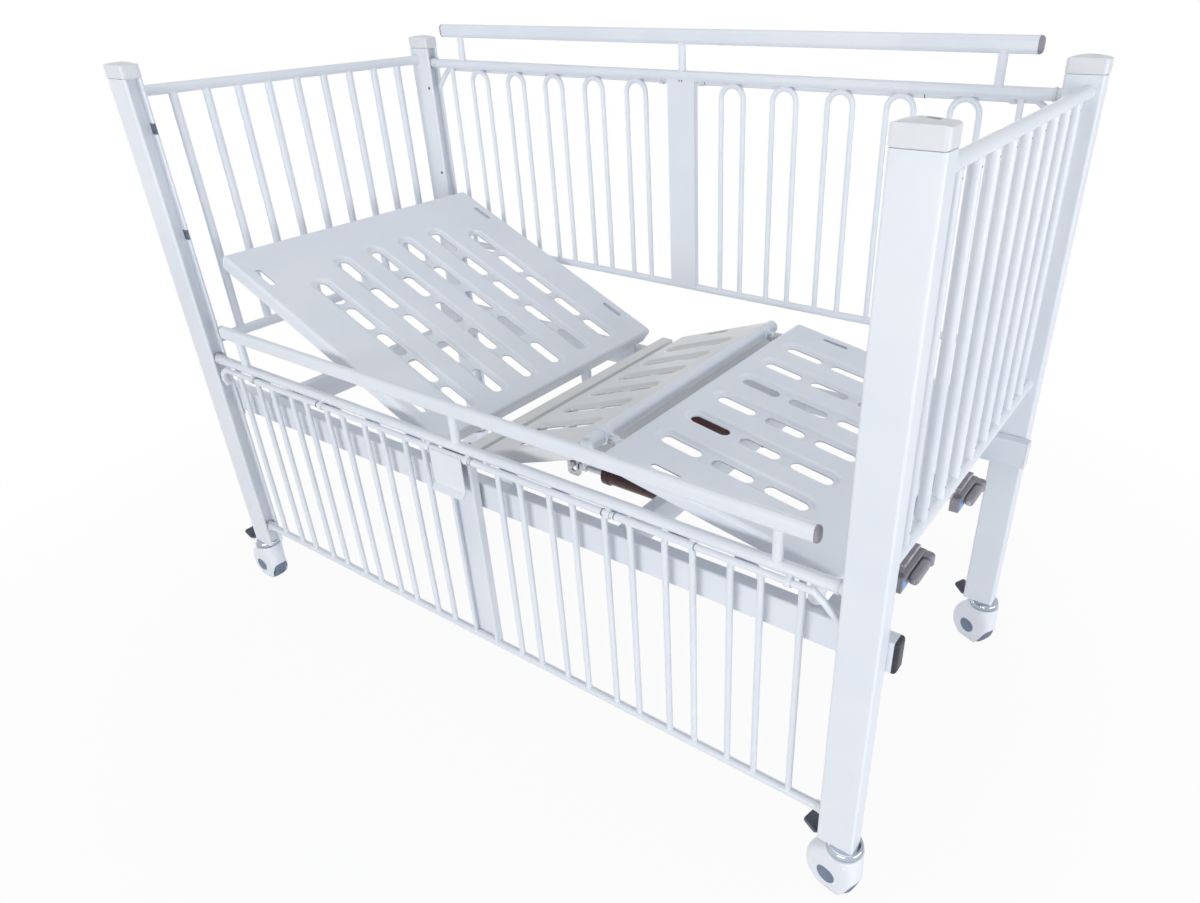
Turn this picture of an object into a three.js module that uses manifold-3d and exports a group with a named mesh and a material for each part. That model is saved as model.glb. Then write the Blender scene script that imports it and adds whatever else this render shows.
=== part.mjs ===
// Children's hospital cot: four hollow corner posts on hooded castors, barred ends, two drop sides,
// and a slotted deck whose back and knee sections are raised by two hand cranks at the foot end.
// Millimetres. +X runs to the foot end, +Z up, and z = 0 is the floor midway between the posts.

import * as THREE from 'three';
import { mergeVertices } from 'three/addons/utils/BufferGeometryUtils.js';
import Module from 'manifold-3d';

const wasm = await Module();
wasm.setup();

// Corner posts
const POST_SPAN_X = 1696;
const POST_SPAN_Y = 800;
const POST_X = 68;
const POST_Y = 40;
const POST_WALL = 4;
const POST_CORNER = 7;
const POST_BOTTOM = 132;
const POST_TOP = 1288;
const CHANNEL_WIDTH = 24;
const CHANNEL_DEPTH = 17;
const NOTCH_WIDTH = 20;
const NOTCH_HEIGHT = 26;
const NOTCH_STEP = 223;
const CAP_HEIGHT = 25;
const CAP_CROWN = 6;
const CAP_SPIGOT = 14;
const POLE_SOCKET_RADIUS = 9.5;
const SOCKET_OUT = 8.5;

// Barred end panels
const END_TOP_RADIUS = 11;
const END_BOTTOM_RADIUS = 12;
const END_BAR_RADIUS = 9.5;
const END_BAR_PITCH = 76.5;
const END_BAR_COUNT = 9;
const END_TOP_DROP = 28;
const END_BOTTOM = 707;
const END_OUT = 10;

// Drop sides
const RAIL_LOW = 672;
const RAIL_TOP_DROP = 36;
const RAIL_FOOT_CLEAR = 55;
const RAIL_SHORT = 8;
const RAIL_TUBE_RADIUS = 11;
const RAIL_FOOT_RADIUS = 8.5;
const BUSH_REACH = 13;
const BUSH_LAP = 2;
const PIN_BAR_RADIUS = 6;
const PIN_FIRST = 131.5;
const PIN_COUNT = 5;
const PIN_END_GAP = 99.9;
const PIN_SPREAD = 56;
const PIN_ARCH_DROP = 15;
const LONE_BAR_INSET = 61;
const PLATE_HALF = 36;
const PLATE_SHEET = 3;
const PLATE_INNER = 9;
const PLATE_FLANGE = 16;
const PLATE_LIP = 8;
const GRAB_HEIGHT = 79;
const GRAB_INSET = 46;
const GRAB_TALL = 31;
const GRAB_WIDE = 20;
const GRAB_POST_INSET = 60;
const GRAB_POST_RADIUS = 9;
const GRAB_PLUG = 8;
const GRAB_PLUG_DOME = 6;

// Latch bar of a drop side
const LATCH_RADIUS = 6;
const LATCH_OUT = 15;
const LATCH_DROP = 13;
const LATCH_END_RUN = 36;
const LATCH_HOOK_DROP = 49;
const LATCH_HOOK_IN = 13;
const LATCH_TURN = 13;
const LATCH_TIP = 1;
const CLIP_WIDTH = 10;
const CLIP_SHARES = [-0.819, -0.504, -0.082, 0.05, 0.475, 0.903];
const FLAP_FROM = -55;
const FLAP_TO = 31;
const FLAP_TALL = 84;
const FLAP_SHEET = 2.5;
const FLAP_LIP = 11;
const FLAP_RISE = 2;
const FLAP_WELD = 3;

// Under-frame
const BEAM_OVERHANG = 8;
const BEAM_TALL = 60;
const BEAM_WIDE = 30;
const BEAM_WALL = 2.5;
const BEAM_CORNER = 4;
const BEAM_BORE_CORNER = 2;
const BEAM_TOP = 587;
const BEAM_PLUG = 8;
const BEAM_PLUG_DOME = 6;
const BEAM_SPIGOT = 18;
const BEAM_SPIGOT_FIT = 1.5;
const SEAT_PLATE_TALL = 12;
const SEAT_PLATE_LONG = 56;
const SEAT_PLATE_THICK = 5;
const BOLT_RADIUS = 4;
const BOLT_HEAD = 5;
const CROSS_HEAD_INSET = 148;
const CROSS_MID_X = 362;
const CROSS_FOOT_INSET = 73;
const CROSS_WIDE = 30;
const CROSS_SHY = 2;
const STRIP_FROM = -58;
const STRIP_TO = -26;
const STRIP_TALL = 35;
const STRIP_SHEET = 4;
const STRIP_SHY = 4;
const STRIP_CORNER = 3;

// Mattress deck
const HINGE_RISE = 34;
const DECK_RISE = 42;
const SHEET = 3;
const LIP = 30;
const FOLD = 8;
const CHANNEL_PITCH = 97;
const PRESS_WIDTH = 50;
const PRESS_DEPTH = 8;
const SLOT_LONG = 84;
const SLOT_WIDE = 27;
const SIDE_SLOT_LONG = 60;
const SIDE_SLOT_WIDE = 10;
const SIDE_SLOT_INSET = 65;
const SLOT_BRIDGE = 14;
const BACK_HINGE_X = -145;
const BACK_ANGLE = 24;
const BACK_TOP_ANGLE = 65;
const BACK_SHY = 32;
const BACK_HEAD_GAP = 41;
const BACK_INSET = 45;
const BACK_PRESS_FROM = 36;
const BACK_PRESS_HEAD = 109;
const BACK_PRESS_HEAD_OUTER = 159;
const BACK_SIDE_SLOTS = [108, 593];
const BACK_RELIEF_LONG = 26;
const BACK_RELIEF_IN = 6;
const BACK_RELIEF_DROP = 4;
const BACK_SLOTS = 5;
const THIGH_HINGE_X = 72.5;
const THIGH_ANGLE = 19.7;
const THIGH_TOP_ANGLE = 28;
const THIGH_SHY = 40;
const THIGH_INSET = 46;
const THIGH_SIDE_SLOT = 130;
const THIGH_PRESS_FROM = 34;
const THIGH_PRESS_TO = 230;
const THIGH_SLOTS = 2;
const KNEE_APRON = 20;
const KNEE_RADIUS = 15;
const KNEE_ALONG = 235;
const KNEE_SINK = 9.5;
const KNEE_SHY = 18;
const CLIP_INSET = 50;
const CLIP_THICK = 6;
const CLIP_RADIUS = 9;
const CLIP_EMBED = 2;
const PIVOT_BOLT_RADIUS = 5;
const PIVOT_BOLT_IN = 5;
const PIVOT_BOLT_OUT = 15;
const LEG_PIVOT_ALONG = 258;
const LEG_PIVOT_SINK = 24;
const LEG_FOLD = 29.8;
const LEG_RISE = 24;
const LEG_SHY = 34;
const LEG_FROM = 25;
const LEG_FOOT_GAP = 27.5;
const LEG_PRESS_FROM = 55;
const LEG_PRESS_FOOT = 111;
const LEG_SIDE_SLOTS = [138, 428];
const LEG_SLOTS = 3;
const LEG_EYE_RADIUS = 10;
const LEG_EYE_ROOT = 14;
const LEG_EYE_ROOT_RADIUS = 12;
const LEG_EYE_GAP = 1;
const GLIDE_INSET = 34;
const GLIDE_ROOT = 20;
const GLIDE_ROOT_RADIUS = 16;
const GLIDE_IN = 6;
const GLIDE_RADIUS = 12;
const GLIDE_LIFT = 3;
const LUG_PIN_RADIUS = 6;
const LUG_RADIUS = 14;
const LUG_THICK = 8;
const LUG_GAP = 8;
const LUG_ROOT = 20;
const LUG_FLARE = 4;
const EYE_FLARE = 6;

// Crank drives
const DRIVE_Y = 150;
const LEVER_RADIUS = 80;
const LEVER_DROP = 1;
const LEVER_THICK = 8;
const LEVER_PIN_RADIUS = 6;
const LEVER_PIN_RIM = 6;
const LEVER_PIN_SPARE = 6;
const LEVER_ROOT = 20;
const YOKE_SLACK = 1.8;
const YOKE_THICK = 7;
const YOKE_GAP = 2;
const YOKE_RIM = 9;
const YOKE_HALF = 30;
const YOKE_LIFT = 4;
const YOKE_SLOT = 44;
const YOKE_CORNER = 8;
const TONGUE_HALF = 8;
const TONGUE_LAP = 14;
const PUSH_RADIUS = 11;
const PUSH_BURIED = 100;
const SLEEVE_RADIUS = 22;
const SLEEVE_LONG = 182;
const SLEEVE_COLLAR = 16;
const SLEEVE_COLLAR_STEP = 3;
const SHAFT_RADIUS = 8;
const SHAFT_BURIED = 12;
const CRANK_INSET = 37;
const CRANK_THICK = 18;
const CRANK_HUB_RADIUS = 20;
const CRANK_TIP_RADIUS = 14;
const CRANK_REACH = 69;
const CRANK_BACK = 15;
const CRANK_RIB = 4;
const CRANK_RIB_STEP = 3;
const CRANK_RIM = 4;
const CRANK_POCKET = 5;
const CRANK_BOSS_RADIUS = 14;
const CRANK_BOSS_ROOT = 2;
const CRANK_BOSS_SHY = 1;
const FORK_ROOT = 8;
const FORK_THICK = 4;
const FORK_GAP = 0.5;
const GRIP_OFFSET = 12;
const GRIP_RADIUS = 10;
const GRIP_LONG = 80;
const GRIP_EYE = 8;
const GRIP_EYE_SHY = 2;
const GRIP_NECK = 13;
const GRIP_NECK_LAP = 20;
const GRIP_SHOULDER = 3;
const GRIP_WAIST = 1.5;
const GRIP_PIN_RADIUS = 3;

// Castors
const WHEEL_RADIUS = 50;
const WHEEL_WIDE = 34;
const HOOD_GAP = 2;
const HOOD_WALL = 3;
const HOOD_HEM = 8;
const HOOD_HALF_TOP = 34;
const HOOD_HALF_LOW = 26;
const HOOD_TUCK = 7;
const HOOD_LAP = 2;
const CASTOR_TRAIL = 18;
const CASTOR_OUT = 14;
const CASTOR_HEADINGS = { head_near: 0, head_far: 0, foot_near: -12, foot_far: -25 };
const WINDOW_WIDE = 32;
const WINDOW_TOP = 56;
const HUB_DISC_RADIUS = 20;
const STEM_RADIUS = 32;
const STEM_TALL = 15;
const STEM_EDGE = 4;
const PEDAL_PIVOT = 47;
const PEDAL_REACH = 44;
const PEDAL_TILT = 26;
const PEDAL_WIDE = 34;
const PEDAL_THICK = 8;
const PEDAL_PIN_RADIUS = 3;
const PEDAL_SINK = 2;
const PEDAL_FROM = 7;
const PEDAL_CORNER = 8;
const PEDAL_EAR_IN = 5.5;
const PEDAL_EAR_OUT = 10.5;
const PEDAL_EAR_BACK = 4;
const PEDAL_EAR_LAP = 5;
const PEDAL_LUG_HALF = 5;
const PEDAL_PIN_HALF = 11;

// Clearances and facet counts
const FIT = 0.3;
const TURN_FIT = 0.5;
const LOOSE_FIT = 0.9;
const PAST = 1;
const BAR_SIDES = 8;
const TUBE_SIDES = 10;
const PIN_SIDES = 12;
const ROUND_SIDES = 16;
const SLOT_ARC = { arc: 3 };
const BEND_STEPS = 4;

const rad = THREE.MathUtils.degToRad;
const at = (x, y, z) => new THREE.Vector3(x, y, z);
const postX = POST_SPAN_X / 2;
const postY = POST_SPAN_Y / 2;
const beamOuter = postY - POST_Y / 2 - FIT;
const beamInner = beamOuter - BEAM_WIDE;
const beamBottom = BEAM_TOP - BEAM_TALL;
const lugOuter = beamInner + BEAM_WALL / 2;
const lugInner = beamInner - LUG_THICK;
const beamHalf = postX + POST_X / 2 + BEAM_OVERHANG;
const railHalf = postX - POST_X / 2 - RAIL_SHORT;
const railHigh = POST_TOP - RAIL_TOP_DROP;
const railDepth = RAIL_LOW - POST_BOTTOM - RAIL_FOOT_CLEAR;
const loneBarX = railHalf - LONE_BAR_INSET;
const pinPitch = (loneBarX - PIN_END_GAP - PIN_FIRST) / (PIN_COUNT - 1);
const grabHalf = railHalf - GRAB_INSET;
const latchStraight = railHalf - LATCH_END_RUN;
const latchTip = LATCH_DROP + LATCH_HOOK_DROP;
const notchHeights = [RAIL_LOW, railHigh - NOTCH_STEP, railHigh].map((rail) => rail - latchTip);
const hingeZ = BEAM_TOP + HINGE_RISE;
const driveZ = hingeZ - LEVER_RADIUS - LEVER_DROP;
const backHalf = postY - BACK_SHY;
const thighHalf = postY - THIGH_SHY;
const legHalf = postY - LEG_SHY;
const kneeHalf = thighHalf - KNEE_SHY;
const sideSlotY = postY - SIDE_SLOT_INSET;
const backLong = postX + BACK_HINGE_X + BACK_INSET - BACK_HEAD_GAP;
const legTo = postX - THIGH_HINGE_X - LEG_PIVOT_ALONG - LEG_FOOT_GAP;
const crankFace = postX - CRANK_INSET;
const crankOuter = crankFace + CRANK_THICK;

// Colours seen on the cot
const finish = (color, roughness, metalness) =>
  new THREE.MeshStandardMaterial({ color, roughness, metalness });
const powderCoat = () => finish(0xe9ecf2, 0.42, 0.05);
const capPlastic = () => finish(0xe6e4e0, 0.5, 0);
const zinc = () => finish(0xa8abad, 0.35, 0.85);
const chrome = () => finish(0xc9ccd0, 0.15, 1);
const blackPlastic = () => finish(0x1b1d24, 0.5, 0);
const slateRubber = () => finish(0x5d6470, 0.6, 0);
const mauvePlastic = () => finish(0x8d8693, 0.5, 0);
const taupePlastic = () => finish(0x8b847c, 0.55, 0);
const maroonPaint = () => finish(0x4a2226, 0.45, 0.1);
const hoodPlastic = () => finish(0xdfe2e6, 0.45, 0);

// A closed surface as a solid that can be joined and cut.
function solidOf(geometry) {
  geometry.deleteAttribute('normal');
  geometry.deleteAttribute('uv');
  const welded = mergeVertices(geometry, 1e-4);
  const corners = welded.index.array;
  const kept = [];
  for (let i = 0; i < corners.length; i += 3) {
    const [a, b, c] = [corners[i], corners[i + 1], corners[i + 2]];
    if (a !== b && b !== c && a !== c) kept.push(a, b, c);
  }
  const vertProperties = new Float32Array(welded.attributes.position.array);
  const triVerts = new Uint32Array(kept);
  return new wasm.Manifold(new wasm.Mesh({ numProp: 3, vertProperties, triVerts }));
}

const join = (solids) => solids.reduce((whole, next) => whole.add(next));
const cut = (solid, tools) => tools.reduce((rest, tool) => rest.subtract(tool), solid);

function meshOf(name, solid, material) {
  const { vertProperties, triVerts, numProp } = solid.getMesh();
  const geometry = new THREE.BufferGeometry();
  const positions = new Float32Array((vertProperties.length / numProp) * 3);
  for (let i = 0; i < positions.length / 3; i += 1) {
    positions.set(vertProperties.subarray(i * numProp, i * numProp + 3), i * 3);
  }
  geometry.setAttribute('position', new THREE.BufferAttribute(positions, 3));
  geometry.setIndex(new THREE.BufferAttribute(new Uint32Array(triVerts), 1));
  geometry.computeVertexNormals();
  const mesh = new THREE.Mesh(geometry, material);
  mesh.name = name;
  return mesh;
}

function groupOf(meshes, position, turn = {}) {
  const group = new THREE.Group();
  group.add(...meshes);
  group.position.copy(position);
  group.rotation.set(turn.x ?? 0, turn.y ?? 0, turn.z ?? 0);
  return group;
}

// A block between two limits on each axis, in either order.
function block(x, y, z) {
  const size = [x, y, z].map(([from, to]) => Math.abs(to - from));
  const middle = [x, y, z].map(([from, to]) => (from + to) / 2);
  return solidOf(new THREE.BoxGeometry(...size).translate(...middle));
}

// A round bar between two points.
function rod(from, to, radius, sides = BAR_SIDES) {
  const run = to.clone().sub(from);
  const geometry = new THREE.CylinderGeometry(radius, radius, run.length(), sides);
  const toRun = new THREE.Quaternion().setFromUnitVectors(at(0, 1, 0), run.clone().normalize());
  geometry.applyQuaternion(toRun);
  const middle = from.clone().add(to).multiplyScalar(0.5);
  return solidOf(geometry.translate(middle.x, middle.y, middle.z));
}

// Planes for drawn outlines: each gives the directions of the outline's two axes and of its depth.
const ALONG_X = [at(0, 1, 0), at(0, 0, 1), at(1, 0, 0)];
const ALONG_Y = [at(1, 0, 0), at(0, 0, 1), at(0, -1, 0)];
const ALONG_Z = [at(1, 0, 0), at(0, 1, 0), at(0, 0, 1)];

// An outline pulled from one depth to another along an axis; crown rounds the edges of both ends.
function pull(outline, axes, from, to, { crown = 0, arc = 4 } = {}) {
  const flip = axes === ALONG_Y ? -1 : 1;
  const start = Math.min(from * flip, to * flip);
  const geometry = new THREE.ExtrudeGeometry(outline, {
    depth: Math.abs(to - from) - 2 * crown,
    bevelEnabled: crown > 0,
    bevelThickness: crown,
    bevelSize: crown,
    bevelOffset: -crown,
    bevelSegments: 2,
    curveSegments: arc / 2,
  });
  geometry.translate(0, 0, start + crown);
  geometry.applyMatrix4(new THREE.Matrix4().makeBasis(...axes));
  return solidOf(geometry);
}

function roundedBox(halfU, halfV, corner, centreU = 0, centreV = 0) {
  const shape = new THREE.Shape();
  const [u, v] = [halfU - corner, halfV - corner];
  shape.absarc(centreU + u, centreV + v, corner, 0, Math.PI / 2);
  shape.absarc(centreU - u, centreV + v, corner, Math.PI / 2, Math.PI);
  shape.absarc(centreU - u, centreV - v, corner, Math.PI, 1.5 * Math.PI);
  shape.absarc(centreU + u, centreV - v, corner, 1.5 * Math.PI, 2 * Math.PI);
  return shape;
}

// A long hole or stadium outline, its length along the first axis.
function stadium(centreU, centreV, long, wide) {
  const reach = (long - wide) / 2;
  const shape = new THREE.Shape();
  shape.absarc(centreU + reach, centreV, wide / 2, -Math.PI / 2, Math.PI / 2);
  shape.absarc(centreU - reach, centreV, wide / 2, Math.PI / 2, 1.5 * Math.PI);
  return shape;
}

// Two circles on one line joined by their tangents.
function tangentOutline(u0, v0, r0, u1, v1, r1) {
  const heading = Math.atan2(v1 - v0, u1 - u0);
  const lean = Math.acos((r0 - r1) / Math.hypot(u1 - u0, v1 - v0));
  const shape = new THREE.Shape();
  shape.absarc(u1, v1, r1, heading - lean, heading + lean);
  shape.absarc(u0, v0, r0, heading + lean, heading - lean + 2 * Math.PI);
  return shape;
}

// A path that passes straight from point to point, for bent round bars.
class BentPath extends THREE.Curve {
  constructor(points) {
    super();
    this.points = points;
  }
  getPointAt(u, target = new THREE.Vector3()) {
    return target.copy(this.points[Math.round(u * (this.points.length - 1))]);
  }
  getTangentAt(u, target = new THREE.Vector3()) {
    const last = this.points.length - 1;
    const i = Math.round(u * last);
    const before = this.points[Math.max(i - 1, 0)];
    const here = this.points[i];
    const after = this.points[Math.min(i + 1, last)];
    const arriving = here.clone().sub(before).normalize();
    const leaving = after.clone().sub(here).normalize();
    return target.copy(arriving.add(leaving)).normalize();
  }
}

function bentBar(points, radius) {
  const section = new THREE.Shape();
  section.absarc(0, 0, radius, 0, 2 * Math.PI);
  return solidOf(new THREE.ExtrudeGeometry(section, {
    steps: points.length - 1,
    extrudePath: new BentPath(points),
    curveSegments: BAR_SIDES / 2,
  }));
}

// A corner post: rounded column, hollow core, and the guide channel facing local -X.
function post(name) {
  const column = roundedBox(POST_X / 2, POST_Y / 2, POST_CORNER);
  const core = coreOutline(0);
  column.holes.push(core);
  const floor = -POST_X / 2 + CHANNEL_DEPTH;
  const channel = block([-POST_X, floor], [-CHANNEL_WIDTH / 2, CHANNEL_WIDTH / 2],
    [POST_BOTTOM - PAST, POST_TOP + PAST]);
  const notches = notchHeights.map((z) => block([floor - PAST, floor + POST_WALL + PAST],
    [-NOTCH_WIDTH / 2, NOTCH_WIDTH / 2], [z - NOTCH_HEIGHT / 2, z + NOTCH_HEIGHT / 2]));
  const solid = pull(column, ALONG_Z, POST_BOTTOM, POST_TOP, { arc: 2 });
  return meshOf(name, cut(solid, [channel, ...notches]), powderCoat());
}

function coreOutline(clearance) {
  const from = -POST_X / 2 + CHANNEL_DEPTH + POST_WALL + clearance;
  const to = POST_X / 2 - POST_WALL - clearance;
  const half = POST_Y / 2 - POST_WALL - clearance;
  return roundedBox((to - from) / 2, half, POST_WALL, (from + to) / 2, 0);
}

// The cap that closes a post, with a round socket for a drip pole.
function postCap(name) {
  const bow = ((POST_X / 2) ** 2 + CAP_CROWN ** 2) / (2 * CAP_CROWN);
  const lean = Math.atan2(bow - CAP_CROWN, POST_X / 2);
  const crown = POST_TOP + CAP_HEIGHT + CAP_CROWN;
  const barrel = new THREE.Shape();
  barrel.moveTo(-POST_X / 2, POST_TOP);
  barrel.lineTo(POST_X / 2, POST_TOP);
  barrel.absarc(0, crown - bow, bow, lean, Math.PI - lean);
  const head = pull(roundedBox(POST_X / 2, POST_Y / 2, POST_CORNER), ALONG_Z, POST_TOP, crown + PAST, { arc: 2 })
    .intersect(pull(barrel, ALONG_Y, -POST_Y, POST_Y, { arc: 8 }));
  const spigot = pull(coreOutline(FIT), ALONG_Z, POST_TOP - CAP_SPIGOT, POST_TOP + PAST, { arc: 2 });
  const socket = rod(at(SOCKET_OUT, 0, POST_TOP - CAP_SPIGOT - PAST),
    at(SOCKET_OUT, 0, crown + PAST), POLE_SOCKET_RADIUS, PIN_SIDES);
  return meshOf(name, cut(head.add(spigot), [socket]), capPlastic());
}

// A barred end: top tube, bottom tube and upright bars between two posts.
function endPanel(name, end) {
  const x = end * (postX + END_OUT);
  const top = POST_TOP - END_TOP_DROP;
  const reach = postY - POST_Y / 2 - FIT;
  const parts = [
    rod(at(x, -reach, top), at(x, reach, top), END_TOP_RADIUS, TUBE_SIDES),
    rod(at(x, -reach, END_BOTTOM), at(x, reach, END_BOTTOM), END_BOTTOM_RADIUS, TUBE_SIDES),
  ];
  for (let i = 0; i < END_BAR_COUNT; i += 1) {
    const y = (i - (END_BAR_COUNT - 1) / 2) * END_BAR_PITCH;
    parts.push(rod(at(x, y, END_BOTTOM), at(x, y, top), END_BAR_RADIUS));
  }
  return meshOf(name, join(parts), powderCoat());
}

// One hairpin of a drop side: two legs and the arch that hangs under the top tube.
function hairpin(x) {
  const radius = PIN_SPREAD / 2;
  const archZ = -PIN_ARCH_DROP - radius;
  const points = [at(x - radius, 0, -railDepth)];
  for (let i = 0; i <= BEND_STEPS; i += 1) {
    const angle = Math.PI * (1 - i / BEND_STEPS);
    points.push(at(x + radius * Math.cos(angle), 0, archZ + radius * Math.sin(angle)));
  }
  points.push(at(x + radius, 0, -railDepth));
  return bentBar(points, PIN_BAR_RADIUS);
}

function mirrored(values) {
  return values.flatMap((value) => [-value, value]);
}

// A whole drop side about its top tube: tubes, hairpins, centre plate, grab rail and latch clips.
function railSolid(way) {
  const tube = (z, radius) => rod(at(-railHalf, 0, z), at(railHalf, 0, z), radius, TUBE_SIDES);
  const parts = [tube(0, RAIL_TUBE_RADIUS), tube(-railDepth, RAIL_FOOT_RADIUS)];
  const pinX = Array.from({ length: PIN_COUNT }, (_, i) => PIN_FIRST + i * pinPitch);
  mirrored(pinX).forEach((x) => parts.push(hairpin(x)));
  mirrored([loneBarX]).forEach((x) => {
    parts.push(rod(at(x, 0, -railDepth), at(x, 0, 0), PIN_BAR_RADIUS));
  });
  const reach = postX - POST_X / 2 + BUSH_REACH;
  for (const end of [-1, 1]) {
    for (const z of [0, -railDepth]) {
      parts.push(rod(at(end * (railHalf - BUSH_LAP), 0, z), at(end * reach, 0, z),
        CHANNEL_WIDTH / 2 - FIT, PIN_SIDES));
    }
  }
  parts.push(centrePlate());
  const oval = stadium(GRAB_HEIGHT, 0, GRAB_TALL, GRAB_WIDE);
  const upright = [at(0, 0, 1), at(0, -1, 0), at(1, 0, 0)];
  parts.push(pull(oval, upright, -grabHalf, grabHalf));
  [0, ...mirrored([grabHalf - GRAB_POST_INSET])].forEach((x) => {
    parts.push(rod(at(x, 0, 0), at(x, 0, GRAB_HEIGHT), GRAB_POST_RADIUS));
  });
  const wrap = LATCH_RADIUS + PLATE_SHEET;
  CLIP_SHARES.map((share) => way * share * railHalf).forEach((x) => {
    parts.push(block([x - CLIP_WIDTH / 2, x + CLIP_WIDTH / 2], [-LATCH_OUT - wrap, -PLATE_SHEET],
      [-LATCH_DROP - wrap, -LATCH_DROP + wrap]));
  });
  const bore = rod(at(-latchStraight, -LATCH_OUT, -LATCH_DROP),
    at(latchStraight, -LATCH_OUT, -LATCH_DROP), LATCH_RADIUS + LOOSE_FIT);
  return cut(join(parts), [bore]);
}

// The folded plate in the middle of a drop side, its flanges ending in inward lips.
function centrePlate() {
  const outer = PLATE_INNER - PLATE_FLANGE;
  const [lip, bay] = [PLATE_HALF - PLATE_LIP, PLATE_HALF - PLATE_SHEET];
  const [lipTop, web] = [outer + PLATE_SHEET, PLATE_INNER - PLATE_SHEET];
  const folded = new THREE.Shape([
    [-PLATE_HALF, outer], [-lip, outer], [-lip, lipTop], [-bay, lipTop], [-bay, web],
    [bay, web], [bay, lipTop], [lip, lipTop], [lip, outer], [PLATE_HALF, outer],
    [PLATE_HALF, PLATE_INNER], [-PLATE_HALF, PLATE_INNER],
  ].map(([x, y]) => new THREE.Vector2(x, y)));
  return pull(folded, ALONG_Z, -railDepth, 0);
}

// The latch bar: a rod with a hooked arm at each end and the release flap at its middle.
function latchSolid(way) {
  const arm = (end) => [
    at(end * (railHalf + LATCH_TIP), -LATCH_OUT + LATCH_HOOK_IN, -latchTip),
    at(end * (railHalf - LATCH_END_RUN / 8), -LATCH_OUT + LATCH_HOOK_IN / 2.5,
      LATCH_HOOK_DROP / 3 - latchTip),
    at(end * (railHalf - LATCH_END_RUN / 2), -LATCH_OUT, -LATCH_DROP - LATCH_TURN),
    at(end * latchStraight, -LATCH_OUT, -LATCH_DROP),
  ];
  const bar = bentBar([...arm(-1), ...arm(1).reverse()], LATCH_RADIUS);
  const face = -LATCH_OUT - LATCH_RADIUS - TURN_FIT;
  const top = -LATCH_DROP + FLAP_RISE;
  const knee = -LATCH_DROP - FLAP_TALL + FLAP_LIP;
  const sheet = new THREE.Shape([
    [face, top], [face - FLAP_SHEET, top], [face - FLAP_SHEET, knee],
    [face - FLAP_SHEET - FLAP_LIP, knee - FLAP_LIP], [face - FLAP_LIP, knee - FLAP_LIP - FLAP_SHEET],
    [face, knee - FLAP_SHEET / 2],
  ].map(([y, z]) => new THREE.Vector2(y, z)));
  const flap = pull(sheet, ALONG_X, way * FLAP_FROM, way * FLAP_TO);
  const weld = block([way * FLAP_FROM, way * FLAP_TO], [face - FLAP_SHEET / 2, -LATCH_OUT],
    [-LATCH_DROP - FLAP_WELD, -LATCH_DROP + FLAP_WELD]);
  return join([bar, weld, flap]);
}

// A domed plug that closes one end of the grab rail.
function grabPlug(name, end) {
  const upright = [at(0, 0, 1), at(0, -1, 0), at(1, 0, 0)];
  const face = end * (grabHalf + FIT);
  const oval = stadium(GRAB_HEIGHT, 0, GRAB_TALL, GRAB_WIDE);
  const dome = pull(oval, upright, face - GRAB_PLUG, face + GRAB_PLUG, { crown: GRAB_PLUG_DOME });
  const behind = block([face, face - end * 2 * GRAB_PLUG], [-GRAB_WIDE, GRAB_WIDE], [0, 2 * GRAB_HEIGHT]);
  return meshOf(name, cut(dome, [behind]), mauvePlastic());
}

// Turned about, a drop side is made handed, so that both release flaps are nearer the head end.
function dropSide(side, y, z, turn) {
  const way = turn === 0 ? 1 : -1;
  const meshes = [
    meshOf(`${side}_rail`, railSolid(way), powderCoat()),
    meshOf(`${side}_latch`, latchSolid(way), powderCoat()),
    grabPlug(`${side}_grab_plug_a`, -1),
    grabPlug(`${side}_grab_plug_b`, 1),
  ];
  return groupOf(meshes, at(0, y, z), { z: turn });
}

// A side beam: rectangular tube with post seats bolted on below and the deck's hinge lugs inside.
function beam(name, side) {
  const tube = roundedBox(BEAM_WIDE / 2, BEAM_TALL / 2, BEAM_CORNER);
  tube.holes.push(roundedBox(BEAM_WIDE / 2 - BEAM_WALL, BEAM_TALL / 2 - BEAM_WALL, BEAM_BORE_CORNER));
  const solid = pull(tube, ALONG_X, -beamHalf, beamHalf, { arc: 2 });
  const centre = at(0, (beamInner + beamOuter) / 2, beamBottom + BEAM_TALL / 2);
  const parts = [shifted(solid, centre)];
  for (const x of [-postX, postX]) {
    const half = SEAT_PLATE_LONG / 2;
    parts.push(block([x - half, x + half], [beamOuter - SEAT_PLATE_THICK, beamOuter],
      [beamBottom - SEAT_PLATE_TALL, beamBottom + BEAM_WALL / 2]));
    for (const dx of [-half / 2, half / 2]) {
      const bolt = at(x + dx, beamOuter - SEAT_PLATE_THICK + PAST, beamBottom - SEAT_PLATE_TALL / 2);
      parts.push(rod(bolt, bolt.clone().setY(beamOuter - SEAT_PLATE_THICK - BOLT_HEAD), BOLT_RADIUS, 6));
    }
  }
  for (const x of [BACK_HINGE_X, THIGH_HINGE_X]) {
    const ear = tangentOutline(x, beamBottom + LUG_ROOT, LUG_RADIUS + LUG_FLARE, x, hingeZ, LUG_RADIUS);
    parts.push(pull(ear, ALONG_Y, lugInner, lugOuter));
    const pinEnd = lugInner - LUG_GAP - LUG_THICK;
    parts.push(rod(at(x, lugOuter, hingeZ), at(x, pinEnd, hingeZ), LUG_PIN_RADIUS));
  }
  const mesh = meshOf(name, join(parts), powderCoat());
  return side > 0 ? mesh : reflected(mesh);
}

function shifted(solid, by) {
  const mesh = meshOf('', solid);
  return solidOf(mesh.geometry.translate(by.x, by.y, by.z));
}

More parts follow.
